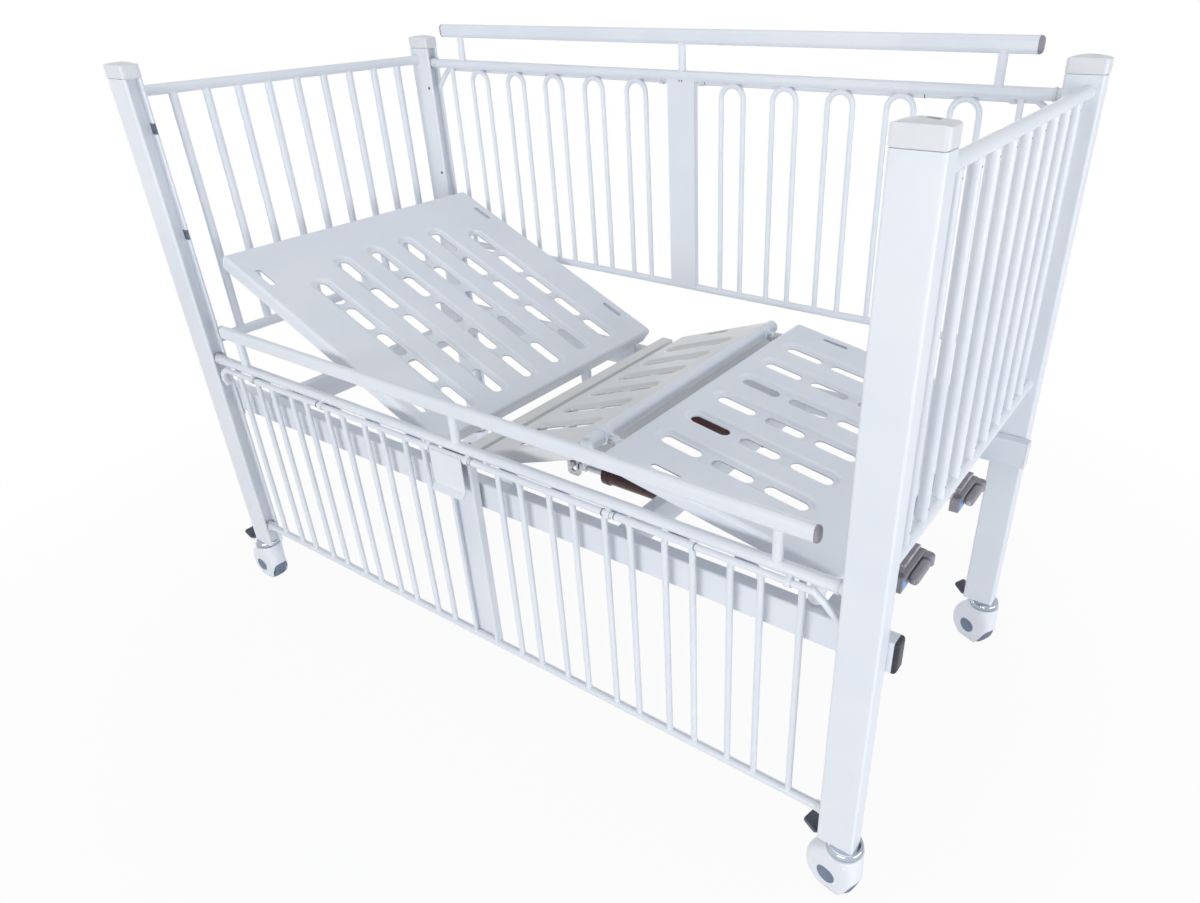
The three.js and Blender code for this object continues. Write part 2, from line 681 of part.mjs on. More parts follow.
// The same piece made handed, for the other side of the cot.
function reflected(mesh) {
  mesh.geometry.scale(1, -1, 1);
  const index = mesh.geometry.index;
  for (let i = 0; i < index.count; i += 3) {
    const b = index.getX(i + 1);
    index.setX(i + 1, index.getX(i + 2));
    index.setX(i + 2, b);
  }
  mesh.geometry.computeVertexNormals();
  return mesh;
}

// The domed plug in the end of a side beam.
function beamPlug(name, end, side) {
  const y = side * (beamInner + beamOuter) / 2;
  const z = beamBottom + BEAM_TALL / 2;
  const face = end * (beamHalf + FIT);
  const head = pull(roundedBox(BEAM_WIDE / 2, BEAM_TALL / 2, BEAM_PLUG_DOME, y, z), ALONG_X,
    face - BEAM_PLUG, face + BEAM_PLUG, { crown: BEAM_PLUG_DOME, arc: 2 });
  const behind = block([face, face - end * 2 * BEAM_PLUG], [y - BEAM_WIDE, y + BEAM_WIDE],
    [z - BEAM_TALL, z + BEAM_TALL]);
  const [slimY, slimZ] = [BEAM_WIDE, BEAM_TALL].map((size) => size / 2 - BEAM_WALL - BEAM_SPIGOT_FIT);
  const spigot = block([face + end * PAST, face - end * BEAM_SPIGOT], [y - slimY, y + slimY],
    [z - slimZ, z + slimZ]);
  return meshOf(name, cut(head, [behind]).add(spigot), blackPlastic());
}

// A cross tube between the side beams, bored where the crank shafts pass.
function crossTube(name, x, shafts) {
  const reach = beamInner - FIT;
  const [halfX, halfZ, z] = [CROSS_WIDE / 2, BEAM_TALL / 2 - CROSS_SHY, beamBottom + BEAM_TALL / 2];
  const tube = roundedBox(halfX, halfZ, BEAM_CORNER, x, z);
  tube.holes.push(roundedBox(halfX - BEAM_WALL, halfZ - BEAM_WALL, BEAM_BORE_CORNER, x, z));
  const bores = shafts.map((y) => rod(at(x - CROSS_WIDE, y, driveZ), at(x + CROSS_WIDE, y, driveZ),
    SHAFT_RADIUS + LOOSE_FIT));
  return meshOf(name, cut(pull(tube, ALONG_Y, -reach, reach, { arc: 2 }), bores), powderCoat());
}

// The fixed strip across the beams between the back and thigh sections: an upturned channel.
function seatStrip() {
  const reach = beamOuter - STRIP_SHY;
  const middle = (STRIP_FROM + STRIP_TO) / 2;
  const half = (STRIP_TO - STRIP_FROM) / 2;
  const z = BEAM_TOP + FIT;
  const outer = roundedBox(half, STRIP_TALL / 2, STRIP_CORNER, middle, z + STRIP_TALL / 2);
  const below = block([STRIP_FROM + STRIP_SHEET, STRIP_TO - STRIP_SHEET],
    [-reach - PAST, reach + PAST], [z - PAST, z + STRIP_TALL - STRIP_SHEET]);
  return meshOf('seat_strip', cut(pull(outer, ALONG_Y, -reach, reach, { arc: 2 }), [below]), powderCoat());
}

// A deck section about its hinge: a folded sheet from one end to the other, lips turned down all round.
function foldedSheet(from, to, half, top) {
  const skin = (offset) => {
    const shape = new THREE.Shape();
    const [w, r] = [half - offset, FOLD - offset];
    const [roof, hem] = [top - offset, top - LIP - (offset > 0 ? PAST : 0)];
    shape.moveTo(w, hem);
    shape.absarc(w - r, roof - r, r, 0, Math.PI / 2);
    shape.absarc(-w + r, roof - r, r, Math.PI / 2, Math.PI);
    shape.lineTo(-w, hem);
    return shape;
  };
  const outside = pull(skin(0), ALONG_X, from, to);
  const inside = pull(skin(SHEET), ALONG_X, from + SHEET, to - SHEET);
  return outside.subtract(inside);
}

function channelRecesses(top, channels) {
  return channels.map(([from, to, y]) => pull(stadium((from + to) / 2, y, Math.abs(to - from), PRESS_WIDTH),
    ALONG_Z, top - PRESS_DEPTH, top + PAST, SLOT_ARC));
}

// Pressed channels along a deck section: [from, to, y] each, with evenly spaced long holes in the floor.
function pressChannels(sheet, top, channels, slots) {
  const trays = [];
  const holes = [];
  for (const [from, to, y] of channels) {
    const [middle, long] = [(from + to) / 2, Math.abs(to - from)];
    const tray = stadium(middle, y, long + 2 * SHEET, PRESS_WIDTH + 2 * SHEET);
    trays.push(pull(tray, ALONG_Z, top - PRESS_DEPTH - SHEET, top - SHEET / 2, SLOT_ARC));
    const step = long / slots;
    for (let i = 0; i < slots; i += 1) {
      const x = Math.min(from, to) + (i + 0.5) * step;
      holes.push(pull(stadium(x, y, Math.min(SLOT_LONG, step - SLOT_BRIDGE), SLOT_WIDE), ALONG_Z,
        top - PRESS_DEPTH - SHEET - PAST, top, SLOT_ARC));
    }
  }
  return cut(join([sheet, ...trays]), [...channelRecesses(top, channels), ...holes]);
}

const channelY = [-2.5, -1.5, -0.5, 0.5, 1.5, 2.5].map((place) => place * CHANNEL_PITCH);

function sideSlots(top, places) {
  return places.flatMap((x) => mirrored([sideSlotY]).map((y) =>
    pull(stadium(x, y, SIDE_SLOT_LONG, SIDE_SLOT_WIDE), ALONG_Z, top - 2 * SHEET, top + PAST, { arc: 2 })));
}

// All that would stand above the middle of a deck sheet.
function aboveSheet(top) {
  return block([-DECK_RISE, DECK_RISE], [-backHalf, backHalf], [top - SHEET / 2, top + DECK_RISE]);
}

// The pair of hinge eyes under a deck section, running on the pins of the side beams.
function hingeEyes(top) {
  const inner = lugInner - LUG_GAP / 2 - LUG_THICK;
  return mirrored([1]).map((side) => {
    const eye = tangentOutline(0, 0, LUG_RADIUS, 0, top - 4 * SHEET, LUG_RADIUS + EYE_FLARE);
    const plate = pull(eye, ALONG_Y, side * inner, side * (inner + LUG_THICK));
    return cut(plate, [aboveSheet(top)]);
  });
}

function hingeBores() {
  return mirrored([1]).map((side) => rod(at(0, side * lugInner / 2, 0), at(0, side * beamOuter, 0),
    LUG_PIN_RADIUS + TURN_FIT));
}

// The lever under a deck section that the drive moves; it hangs straight down at half travel.
function drivenLever(side, top, fromVertical) {
  const pinX = LEVER_RADIUS * Math.sin(fromVertical);
  const pinZ = -LEVER_RADIUS * Math.cos(fromVertical);
  const y = side * DRIVE_Y;
  const arm = tangentOutline(0, top - LEVER_ROOT, LEVER_ROOT, pinX, pinZ, LEVER_PIN_RADIUS + LEVER_PIN_RIM);
  const plate = pull(arm, ALONG_Y, y - LEVER_THICK / 2, y + LEVER_THICK / 2);
  const pinLong = LEVER_THICK / 2 + YOKE_THICK + LEVER_PIN_SPARE;
  const pin = rod(at(pinX, y, pinZ), at(pinX, y + side * pinLong, pinZ), LEVER_PIN_RADIUS);
  return [cut(plate, [aboveSheet(top)]), pin];
}

const backLever = rad(BACK_TOP_ANGLE / 2);
const thighLever = rad(THIGH_TOP_ANGLE / 2);

function backSection() {
  const seat = BACK_INSET;
  const head = BACK_INSET - backLong;
  const channels = channelY.map((y) => {
    const outermost = Math.abs(y) > 2 * CHANNEL_PITCH;
    return [seat - BACK_PRESS_FROM, head + (outermost ? BACK_PRESS_HEAD_OUTER : BACK_PRESS_HEAD), y];
  });
  const sheet = foldedSheet(head, seat, backHalf, DECK_RISE);
  const pressed = pressChannels(sheet, DECK_RISE, channels, BACK_SLOTS);
  const reliefs = mirrored([1]).map((side) => block([seat - BACK_RELIEF_LONG, seat + PAST],
    [side * (beamInner - BACK_RELIEF_IN), side * (backHalf + PAST)],
    [DECK_RISE - FOLD - BACK_RELIEF_DROP, DECK_RISE - LIP - PAST]));
  const slots = sideSlots(DECK_RISE, BACK_SIDE_SLOTS.map((place) => head + place));
  const opened = cut(pressed, [...reliefs, ...slots]);
  const solid = join([opened, ...hingeEyes(DECK_RISE), ...drivenLever(1, DECK_RISE, backLever)]);
  const cuts = [...hingeBores(), ...channelRecesses(DECK_RISE, channels)];
  return meshOf('back_section', cut(solid, cuts), powderCoat());
}

function thighSection() {
  const seat = -THIGH_INSET;
  const knee = KNEE_ALONG - KNEE_RADIUS - FIT;
  const channels = channelY.map((y) => [seat + THIGH_PRESS_FROM, seat + THIGH_PRESS_TO, y]);
  const sheet = foldedSheet(seat, knee, thighHalf, DECK_RISE);
  const pressed = pressChannels(sheet, DECK_RISE, channels, THIGH_SLOTS);
  const opened = cut(pressed, sideSlots(DECK_RISE, [seat + THIGH_SIDE_SLOT]));
  const hem = DECK_RISE - LIP;
  const reach = thighHalf - FOLD;
  const apron = block([knee - SHEET, knee], [-reach, reach], [hem - KNEE_APRON, hem + PAST]);
  const solid = join([opened, apron, ...hingeEyes(DECK_RISE), ...drivenLever(-1, DECK_RISE, -thighLever)]);
  const cuts = [...hingeBores(), ...channelRecesses(DECK_RISE, channels)];
  return meshOf('thigh_section', cut(solid, cuts), powderCoat());
}

const clipInner = kneeHalf - CLIP_INSET;
const clipOuter = clipInner + CLIP_THICK;
const kneeZ = DECK_RISE - KNEE_SINK;
const legPivotZ = DECK_RISE - LEG_PIVOT_SINK;

// The round knee tube with the two clips that carry the leg section's pivot bolts.
function kneeTube() {
  const [near, far] = [at(KNEE_ALONG, -kneeHalf, kneeZ), at(KNEE_ALONG, kneeHalf, kneeZ)];
  const parts = [rod(near, far, KNEE_RADIUS, ROUND_SIDES)];
  for (const side of [-1, 1]) {
    const clip = tangentOutline(KNEE_ALONG, kneeZ, KNEE_RADIUS - CLIP_EMBED,
      LEG_PIVOT_ALONG, legPivotZ, CLIP_RADIUS);
    parts.push(pull(clip, ALONG_Y, side * clipInner, side * clipOuter));
    parts.push(rod(at(LEG_PIVOT_ALONG, side * (clipInner - PIVOT_BOLT_IN), legPivotZ),
      at(LEG_PIVOT_ALONG, side * (clipInner + PIVOT_BOLT_OUT), legPivotZ), PIVOT_BOLT_RADIUS));
  }
  return meshOf('knee_tube', join(parts), powderCoat());
}

// The leg section about its pivot bolts, with glide feet that follow the side beams.
function legSection() {
  const channels = channelY.map((y) => [LEG_PRESS_FROM, legTo - LEG_PRESS_FOOT, y]);
  const sheet = foldedSheet(LEG_FROM, legTo, legHalf, LEG_RISE);
  const pressed = pressChannels(sheet, LEG_RISE, channels, LEG_SLOTS);
  const opened = cut(pressed, sideSlots(LEG_RISE, LEG_SIDE_SLOTS));
  const parts = [opened];
  const worldTilt = rad(LEG_FOLD - THIGH_ANGLE);
  const thigh = rad(THIGH_ANGLE);
  const pivotHeight = hingeZ + LEG_PIVOT_ALONG * Math.sin(thigh) + legPivotZ * Math.cos(thigh);
  const footHeight = BEAM_TOP + GLIDE_LIFT + GLIDE_RADIUS;
  const glideX = legTo - GLIDE_INSET;
  const footZ = (footHeight - pivotHeight + glideX * Math.sin(worldTilt)) / Math.cos(worldTilt);
  const eyeInner = clipOuter + LEG_EYE_GAP;
  for (const side of [-1, 1]) {
    const eye = tangentOutline(0, 0, LEG_EYE_RADIUS,
      LEG_FROM + LEG_EYE_ROOT, LEG_RISE - LEG_EYE_ROOT, LEG_EYE_ROOT_RADIUS);
    const plate = pull(eye, ALONG_Y, side * eyeInner, side * (eyeInner + CLIP_THICK));
    const bore = rod(at(0, side * clipInner, 0), at(0, side * (eyeInner + 2 * CLIP_THICK), 0),
      PIVOT_BOLT_RADIUS + TURN_FIT);
    parts.push(cut(plate, [bore]));
    const foot = tangentOutline(glideX, LEG_RISE - GLIDE_ROOT, GLIDE_ROOT_RADIUS,
      glideX, footZ, GLIDE_RADIUS);
    parts.push(pull(foot, ALONG_Y, side * (beamInner + GLIDE_IN), side * (legHalf - PAST)));
  }
  return meshOf('leg_section', join(parts), powderCoat());
}

function deck() {
  const leg = groupOf([legSection()], at(LEG_PIVOT_ALONG, 0, legPivotZ), { y: rad(LEG_FOLD) });
  return [
    groupOf([backSection()], at(BACK_HINGE_X, 0, hingeZ), { y: rad(BACK_ANGLE) }),
    groupOf([thighSection(), kneeTube(), leg], at(THIGH_HINGE_X, 0, hingeZ), { y: -rad(THIGH_ANGLE) }),
  ];
}

const sleeveFoot = CROSS_MID_X - CROSS_WIDE / 2 - FIT;
const sleeveHead = sleeveFoot - SLEEVE_LONG;

// The screw sleeve of a drive: a painted tube with a thicker collar at each end.
function screwSleeve(name, y) {
  const [head, foot] = [at(sleeveHead, y, driveZ), at(sleeveFoot, y, driveZ)];
  const bore = rod(at(sleeveHead - PAST, y, driveZ), at(sleeveFoot + PAST, y, driveZ),
    PUSH_RADIUS + TURN_FIT, PIN_SIDES);
  const body = rod(head, foot, SLEEVE_RADIUS, PIN_SIDES);
  const collars = [[sleeveHead, SLEEVE_COLLAR], [sleeveFoot, -SLEEVE_COLLAR]].map(([x, long]) =>
    rod(at(x, y, driveZ), at(x + long, y, driveZ), SLEEVE_RADIUS + SLEEVE_COLLAR_STEP, PIN_SIDES));
  return meshOf(name, cut(join([body, ...collars]), [bore]), maroonPaint());
}

// The push tube: it slides out of the sleeve, and its slotted yoke moves the lever pin.
function pushTube(name, side, hingeX, fromVertical) {
  const y = side * DRIVE_Y;
  const pinX = hingeX + LEVER_RADIUS * Math.sin(fromVertical);
  const yokeY = y + side * (LEVER_THICK / 2 + YOKE_GAP);
  const yokeZ = driveZ + YOKE_LIFT;
  const slotHalf = LEVER_PIN_RADIUS + YOKE_SLACK;
  const yoke = roundedBox(slotHalf + YOKE_RIM, YOKE_HALF, YOKE_CORNER, pinX, yokeZ);
  const slot = stadium(0, 0, YOKE_SLOT, 2 * slotHalf);
  const slotPoints = slot.getPoints(2).map((p) => new THREE.Vector2(pinX - p.y, yokeZ + p.x));
  yoke.holes.push(new THREE.Path(slotPoints));
  const plate = pull(yoke, ALONG_Y, yokeY, yokeY + side * YOKE_THICK, { arc: 2 });
  const start = pinX + slotHalf + TONGUE_LAP;
  const tongue = block([pinX + slotHalf + YOKE_RIM / 2, start + TONGUE_LAP],
    [yokeY, yokeY + side * YOKE_THICK], [driveZ - TONGUE_HALF, driveZ + TONGUE_HALF]);
  const tube = rod(at(start, y, driveZ), at(sleeveHead + PUSH_BURIED, y, driveZ), PUSH_RADIUS, PIN_SIDES);
  return meshOf(name, join([plate, tongue, tube]), zinc());
}

function crankShaft(name, y) {
  const [from, to] = [at(sleeveFoot - SHAFT_BURIED, y, driveZ), at(crankFace - FIT, y, driveZ)];
  return meshOf(name, rod(from, to, SHAFT_RADIUS, PIN_SIDES), zinc());
}

// The crank arm: a moulded bar with a ribbed edge, a hub boss and a fork for the folding grip.
function crankArm(name, y) {
  const outline = (step) => tangentOutline(-CRANK_BACK, 0, CRANK_HUB_RADIUS + step,
    CRANK_REACH, 0, CRANK_TIP_RADIUS + step);
  const bar = pull(outline(0), ALONG_X, crankFace, crankOuter);
  const pocket = pull(outline(-CRANK_RIM), ALONG_X, crankOuter - CRANK_POCKET, crankOuter + PAST);
  const rib = pull(outline(CRANK_RIB_STEP), ALONG_X, crankFace, crankFace + CRANK_RIB);
  const boss = rod(at(crankFace + CRANK_BOSS_ROOT, 0, 0), at(crankOuter - CRANK_BOSS_SHY, 0, 0),
    CRANK_BOSS_RADIUS, ROUND_SIDES);
  const pinX = crankOuter + GRIP_OFFSET;
  const earInner = GRIP_EYE - FORK_GAP;
  const ears = mirrored([1]).map((up) => block([crankFace + FORK_ROOT, pinX + GRIP_EYE],
    [CRANK_REACH - GRIP_EYE, CRANK_REACH + GRIP_EYE], [up * earInner, up * (earInner + FORK_THICK)]));
  const pin = rod(at(pinX, CRANK_REACH, -GRIP_EYE - PAST), at(pinX, CRANK_REACH, GRIP_EYE + PAST),
    GRIP_PIN_RADIUS);
  const solid = join([cut(bar, [pocket]), rib, boss, ...ears, pin]);
  return groupOf([meshOf(name, solid, taupePlastic())], at(0, y, driveZ));
}

// The grip folded back along the arm; its eye turns on the pin of the fork.
function crankGrip(name, y) {
  const slim = GRIP_RADIUS - GRIP_SHOULDER;
  const handle = [[0, GRIP_NECK], [slim, GRIP_NECK], [GRIP_RADIUS, GRIP_NECK + GRIP_SHOULDER],
    [GRIP_RADIUS - GRIP_WAIST, GRIP_LONG / 2], [GRIP_RADIUS, GRIP_LONG - GRIP_SHOULDER],
    [slim, GRIP_LONG], [0, GRIP_LONG]];
  const turned = new THREE.LatheGeometry(handle.map(([r, s]) => new THREE.Vector2(r, s)), PIN_SIDES);
  const body = solidOf(turned.rotateX(Math.PI));
  const half = GRIP_EYE - GRIP_EYE_SHY;
  const tall = GRIP_EYE - 2 * FORK_GAP;
  const eye = block([-half, half], [-GRIP_NECK_LAP, half], [-tall, tall]);
  const bore = rod(at(0, 0, -GRIP_LONG), at(0, 0, GRIP_LONG), GRIP_PIN_RADIUS + TURN_FIT);
  const solid = cut(body.add(eye), [bore]);
  const hinge = at(crankOuter + GRIP_OFFSET, y + CRANK_REACH, driveZ);
  return groupOf([meshOf(name, solid, taupePlastic())], hinge);
}

function drive(section, side, hingeX, fromVertical) {
  const y = side * DRIVE_Y;
  return [
    screwSleeve(`${section}_screw_sleeve`, y),
    pushTube(`${section}_push_tube`, side, hingeX, fromVertical),
    crankShaft(`${section}_crank_shaft`, y),
    crankArm(`${section}_crank_arm`, y),
    crankGrip(`${section}_crank_grip`, y),
  ];
}

const stemBottom = POST_BOTTOM - STEM_TALL;
const hoodTop = stemBottom - TURN_FIT;
const pedalZ = hoodTop - PEDAL_SINK;

// The bright ring on which a post stands.
function castorStem(name) {
  const ring = [[0, 0], [STEM_RADIUS - STEM_EDGE, 0], [STEM_RADIUS, STEM_EDGE],
    [STEM_RADIUS, STEM_TALL - STEM_EDGE], [STEM_RADIUS - STEM_EDGE, STEM_TALL], [0, STEM_TALL]];
  const turned = new THREE.LatheGeometry(ring.map(([r, z]) => new THREE.Vector2(r, z)), ROUND_SIDES);
  return meshOf(name, solidOf(turned.rotateX(Math.PI / 2).translate(0, 0, stemBottom)), chrome());
}

// Side view of the hood: the wheel's circle drawn up to the full width of the ring; inset thins it.
function hoodSide(inset) {
  const radius = WHEEL_RADIUS + HOOD_GAP + HOOD_WALL - inset;
  const top = hoodTop - inset;
  const half = STEM_RADIUS + HOOD_LAP - inset;
  const shape = new THREE.Shape();
  const leaving = (cornerX) => {
    const [dx, dz] = [cornerX - CASTOR_TRAIL, top - WHEEL_RADIUS];
    const spread = Math.acos(radius / Math.hypot(dx, dz));
    return Math.atan2(dz, dx) + Math.sign(cornerX) * -spread;
  };
  shape.moveTo(half, top);
  shape.lineTo(-half, top);
  shape.absarc(CASTOR_TRAIL, WHEEL_RADIUS, radius, leaving(-half), leaving(half) + 2 * Math.PI);
  return shape;
}

// End view of the hood: as wide as the ring at the top, narrower and rounded at the floor.
function hoodEnd(inset) {
  const shape = new THREE.Shape();
  const [top, low] = [HOOD_HALF_TOP - inset, HOOD_HALF_LOW - inset];
  shape.moveTo(top, hoodTop - inset);
  shape.lineTo(-top, hoodTop - inset);
  shape.lineTo(-low, WHEEL_RADIUS);
  shape.lineTo(-low, WHEEL_RADIUS / 2);
  shape.lineTo(-low + HOOD_TUCK, 0);
  shape.lineTo(low - HOOD_TUCK, 0);
  shape.lineTo(low, WHEEL_RADIUS / 2);
  shape.lineTo(low, WHEEL_RADIUS);
  return shape;
}

// The castor hood about its stem, open below, with a window at its leading side and the pedal's lug.
function castorHood(name) {
  const far = 3 * WHEEL_RADIUS;
  const form = (inset) => pull(hoodSide(inset), ALONG_Y, -far, far, { arc: 12 })
    .intersect(pull(hoodEnd(inset), ALONG_X, -far, far));
  const hem = block([-far, far], [-far, far], [-far, HOOD_HEM]);
  const window = block([-far, CASTOR_TRAIL], [-WINDOW_WIDE / 2, WINDOW_WIDE / 2], [-far, WINDOW_TOP]);
  const axle = rod(at(CASTOR_TRAIL, -far, WHEEL_RADIUS), at(CASTOR_TRAIL, far, WHEEL_RADIUS),
    HUB_DISC_RADIUS + TURN_FIT, PIN_SIDES);
  const shell = cut(form(0), [form(HOOD_WALL), hem, window, axle]);
  const lug = block([STEM_RADIUS - PAST, PEDAL_PIVOT + PEDAL_SINK],
    [-PEDAL_LUG_HALF, PEDAL_LUG_HALF], [pedalZ - PEDAL_THICK / 2, hoodTop]);
  const pin = rod(at(PEDAL_PIVOT, -PEDAL_PIN_HALF, pedalZ), at(PEDAL_PIVOT, PEDAL_PIN_HALF, pedalZ),
    PEDAL_PIN_RADIUS);
  return meshOf(name, join([shell, lug, pin]), hoodPlastic());
}

function castorWheel(name) {
  const tyre = rod(at(0, -WHEEL_WIDE / 2, 0), at(0, WHEEL_WIDE / 2, 0), WHEEL_RADIUS, ROUND_SIDES);
  const hub = rod(at(0, -HOOD_HALF_LOW, 0), at(0, HOOD_HALF_LOW, 0), HUB_DISC_RADIUS, PIN_SIDES);
  return meshOf(name, tyre.add(hub), slateRubber());
}

// The brake pedal about its pin: a broad tread on two ears.
function castorPedal(name) {
  const half = (PEDAL_REACH - PEDAL_FROM) / 2;
  const thick = PEDAL_THICK / 2;
  const outline = roundedBox(half, PEDAL_WIDE / 2, PEDAL_CORNER, PEDAL_FROM + half, 0);
  const tread = pull(outline, ALONG_Z, -thick, thick, { arc: 2 });
  const ears = mirrored([1]).map((side) => block([-PEDAL_EAR_BACK, PEDAL_FROM + PEDAL_EAR_LAP],
    [side * PEDAL_EAR_IN, side * PEDAL_EAR_OUT], [-thick, thick]));
  const bore = rod(at(0, -PEDAL_WIDE, 0), at(0, PEDAL_WIDE, 0), PEDAL_PIN_RADIUS + TURN_FIT);
  return meshOf(name, cut(join([tread, ...ears]), [bore]), blackPlastic());
}

// A castor stands outside its post's middle and trails towards the head end, near the heading it was left at.
function castor(corner, x, y) {
  const wheel = groupOf([castorWheel(`castor_wheel_${corner}`)], at(CASTOR_TRAIL, 0, WHEEL_RADIUS));
  const pedal = groupOf([castorPedal(`castor_pedal_${corner}`)], at(PEDAL_PIVOT, 0, pedalZ),
    { y: -rad(PEDAL_TILT) });
  const swivel = groupOf([castorHood(`castor_hood_${corner}`), wheel, pedal], at(0, 0, 0),
    { z: Math.PI + rad(CASTOR_HEADINGS[corner]) });
  return groupOf([castorStem(`castor_stem_${corner}`), swivel], at(x, y, 0));
}

function corner(name, x, y, turn) {
  const column = groupOf([post(`post_${name}`), postCap(`post_cap_${name}`)], at(x, y, 0), { z: turn });
  return [column, castor(name, x + Math.sign(x) * CASTOR_OUT, y)];
}

const cot = new THREE.Group();
cot.add(
  ...corner('head_near', -postX, -postY, Math.PI),
  ...corner('head_far', -postX, postY, Math.PI),
  ...corner('foot_near', postX, -postY, 0),
  ...corner('foot_far', postX, postY, 0),
  endPanel('end_panel_head', -1),
  endPanel('end_panel_foot', 1),
  beam('side_beam_near', -1),
  beam('side_beam_far', 1),
  beamPlug('beam_plug_head_near', -1, -1),
  beamPlug('beam_plug_head_far', -1, 1),
  beamPlug('beam_plug_foot_near', 1, -1),
  beamPlug('beam_plug_foot_far', 1, 1),
  crossTube('cross_tube_head', CROSS_HEAD_INSET - postX, []),
  crossTube('cross_tube_mid', CROSS_MID_X, [-DRIVE_Y, DRIVE_Y]),
  crossTube('cross_tube_foot', postX - CROSS_FOOT_INSET, [-DRIVE_Y, DRIVE_Y]),
  seatStrip(),
  dropSide('near', -postY, RAIL_LOW, 0),
  dropSide('far', postY, railHigh, Math.PI),
  ...deck(),
  ...drive('back', 1, BACK_HINGE_X, backLever - rad(BACK_ANGLE)),
  ...drive('knee', -1, THIGH_HINGE_X, rad(THIGH_ANGLE) - thighLever),
);

export default cot;
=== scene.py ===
import math

import bmesh
import bpy
from mathutils import Matrix, Vector


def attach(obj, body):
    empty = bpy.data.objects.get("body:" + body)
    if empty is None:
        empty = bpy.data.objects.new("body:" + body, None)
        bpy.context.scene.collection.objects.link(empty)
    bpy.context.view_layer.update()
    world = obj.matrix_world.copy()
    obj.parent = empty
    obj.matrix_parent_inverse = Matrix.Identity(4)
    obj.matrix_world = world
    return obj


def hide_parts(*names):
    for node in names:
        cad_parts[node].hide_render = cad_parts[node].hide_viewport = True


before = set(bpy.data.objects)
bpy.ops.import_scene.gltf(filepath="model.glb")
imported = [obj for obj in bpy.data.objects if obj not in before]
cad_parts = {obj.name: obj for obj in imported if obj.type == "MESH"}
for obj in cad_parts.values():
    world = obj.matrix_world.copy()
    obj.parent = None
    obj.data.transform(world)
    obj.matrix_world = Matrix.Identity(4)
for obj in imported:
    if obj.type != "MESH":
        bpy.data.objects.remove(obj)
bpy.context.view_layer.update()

# Corner posts: roll-formed steel columns with a cool white powder coat. The face towards the middle of the
# cot is folded in to a guide channel, pierced where the latch bars drop in; screws hold the keepers behind.
MM = 0.001
SCENE = bpy.context.scene
CORNERS = {"head_near": (-848, -400), "head_far": (-848, 400), "foot_near": (848, -400), "foot_far": (848, 400)}
POST_FOOT, POST_HEAD = 132, 1288
POST_OUTLINE = [(34, 20), (-34, 20), (-34, 12), (-17, 12), (-17, -12), (-34, -12), (-34, -20), (34, -20)]
POST_RADII = [5, 5, 3, 3, 3, 3, 5, 5]
NOTCH_HEIGHTS = (610, 967, 1190)
NOTCH_HALF_TALL, NOTCH_HALF_WIDE, NOTCH_DEEP = 13, 10, 34
COAT_WHITE, COAT_SHADE = (0.80, 0.83, 0.88), (0.76, 0.80, 0.86)
ZINC_PALE, ZINC_DARK = (0.66, 0.68, 0.70), (0.48, 0.50, 0.53)


def mottled(name, light, dark, gloss, grain, relief, patch=5.0, metallic=0.0, stretch=(1, 1, 1)):
    """A finish whose colour and gloss drift slowly, with a fine grain in relief over it."""
    material = bpy.data.materials.new(name)
    material.use_nodes = True
    tree = material.node_tree
    shader = tree.nodes["Principled BSDF"]
    shader.inputs["Metallic"].default_value = metallic
    coordinates = tree.nodes.new("ShaderNodeTexCoord")
    mapping = tree.nodes.new("ShaderNodeMapping")
    mapping.inputs["Scale"].default_value = stretch
    tree.links.new(coordinates.outputs["Object"], mapping.inputs["Vector"])
    noises = []
    for scale, detail in ((patch, 5.0), (patch * 9, 6.0), (grain, 3.0)):
        noise = tree.nodes.new("ShaderNodeTexNoise")
        noise.inputs["Scale"].default_value = scale
        noise.inputs["Detail"].default_value = detail
        tree.links.new(mapping.outputs["Vector"], noise.inputs["Vector"])
        noises.append(noise)
    drift, scuff, fine = noises
    tones = tree.nodes.new("ShaderNodeValToRGB")
    tones.color_ramp.elements[0].position, tones.color_ramp.elements[0].color = 0.36, (*dark, 1)
    tones.color_ramp.elements[1].position, tones.color_ramp.elements[1].color = 0.62, (*light, 1)
    tree.links.new(drift.outputs["Fac"], tones.inputs["Fac"])
    tree.links.new(tones.outputs["Color"], shader.inputs["Base Color"])
    sheen = tree.nodes.new("ShaderNodeMapRange")
    sheen.inputs["From Min"].default_value, sheen.inputs["From Max"].default_value = 0.3, 0.7
    sheen.inputs["To Min"].default_value, sheen.inputs["To Max"].default_value = gloss
    tree.links.new(scuff.outputs["Fac"], sheen.inputs["Value"])
    tree.links.new(sheen.outputs["Result"], shader.inputs["Roughness"])
    bump = tree.nodes.new("ShaderNodeBump")
    bump.inputs["Strength"].default_value = relief
    bump.inputs["Distance"].default_value = 0.2 * MM
    tree.links.new(fine.outputs["Fac"], bump.inputs["Height"])
    tree.links.new(bump.outputs["Normal"], shader.inputs["Normal"])
    return material


powder_coat = mottled("powder_coat_white", COAT_WHITE, COAT_SHADE, (0.30, 0.42), 650, 0.30)
# A dark blue-grey: painted shade in the latch notches of the near posts, and also the colour of the keeper screw
# heads.
notch_shade_and_dark_screws = mottled("painted_notch_shade_and_dark_screws", (0.16, 0.19, 0.24), (0.10, 0.12, 0.16), (0.6, 0.8), 800, 0.2, 60)
zinc_plate = mottled("zinc_plate", ZINC_PALE, ZINC_DARK, (0.24, 0.40), 900, 0.20, 30, 1.0, (1, 6, 6))


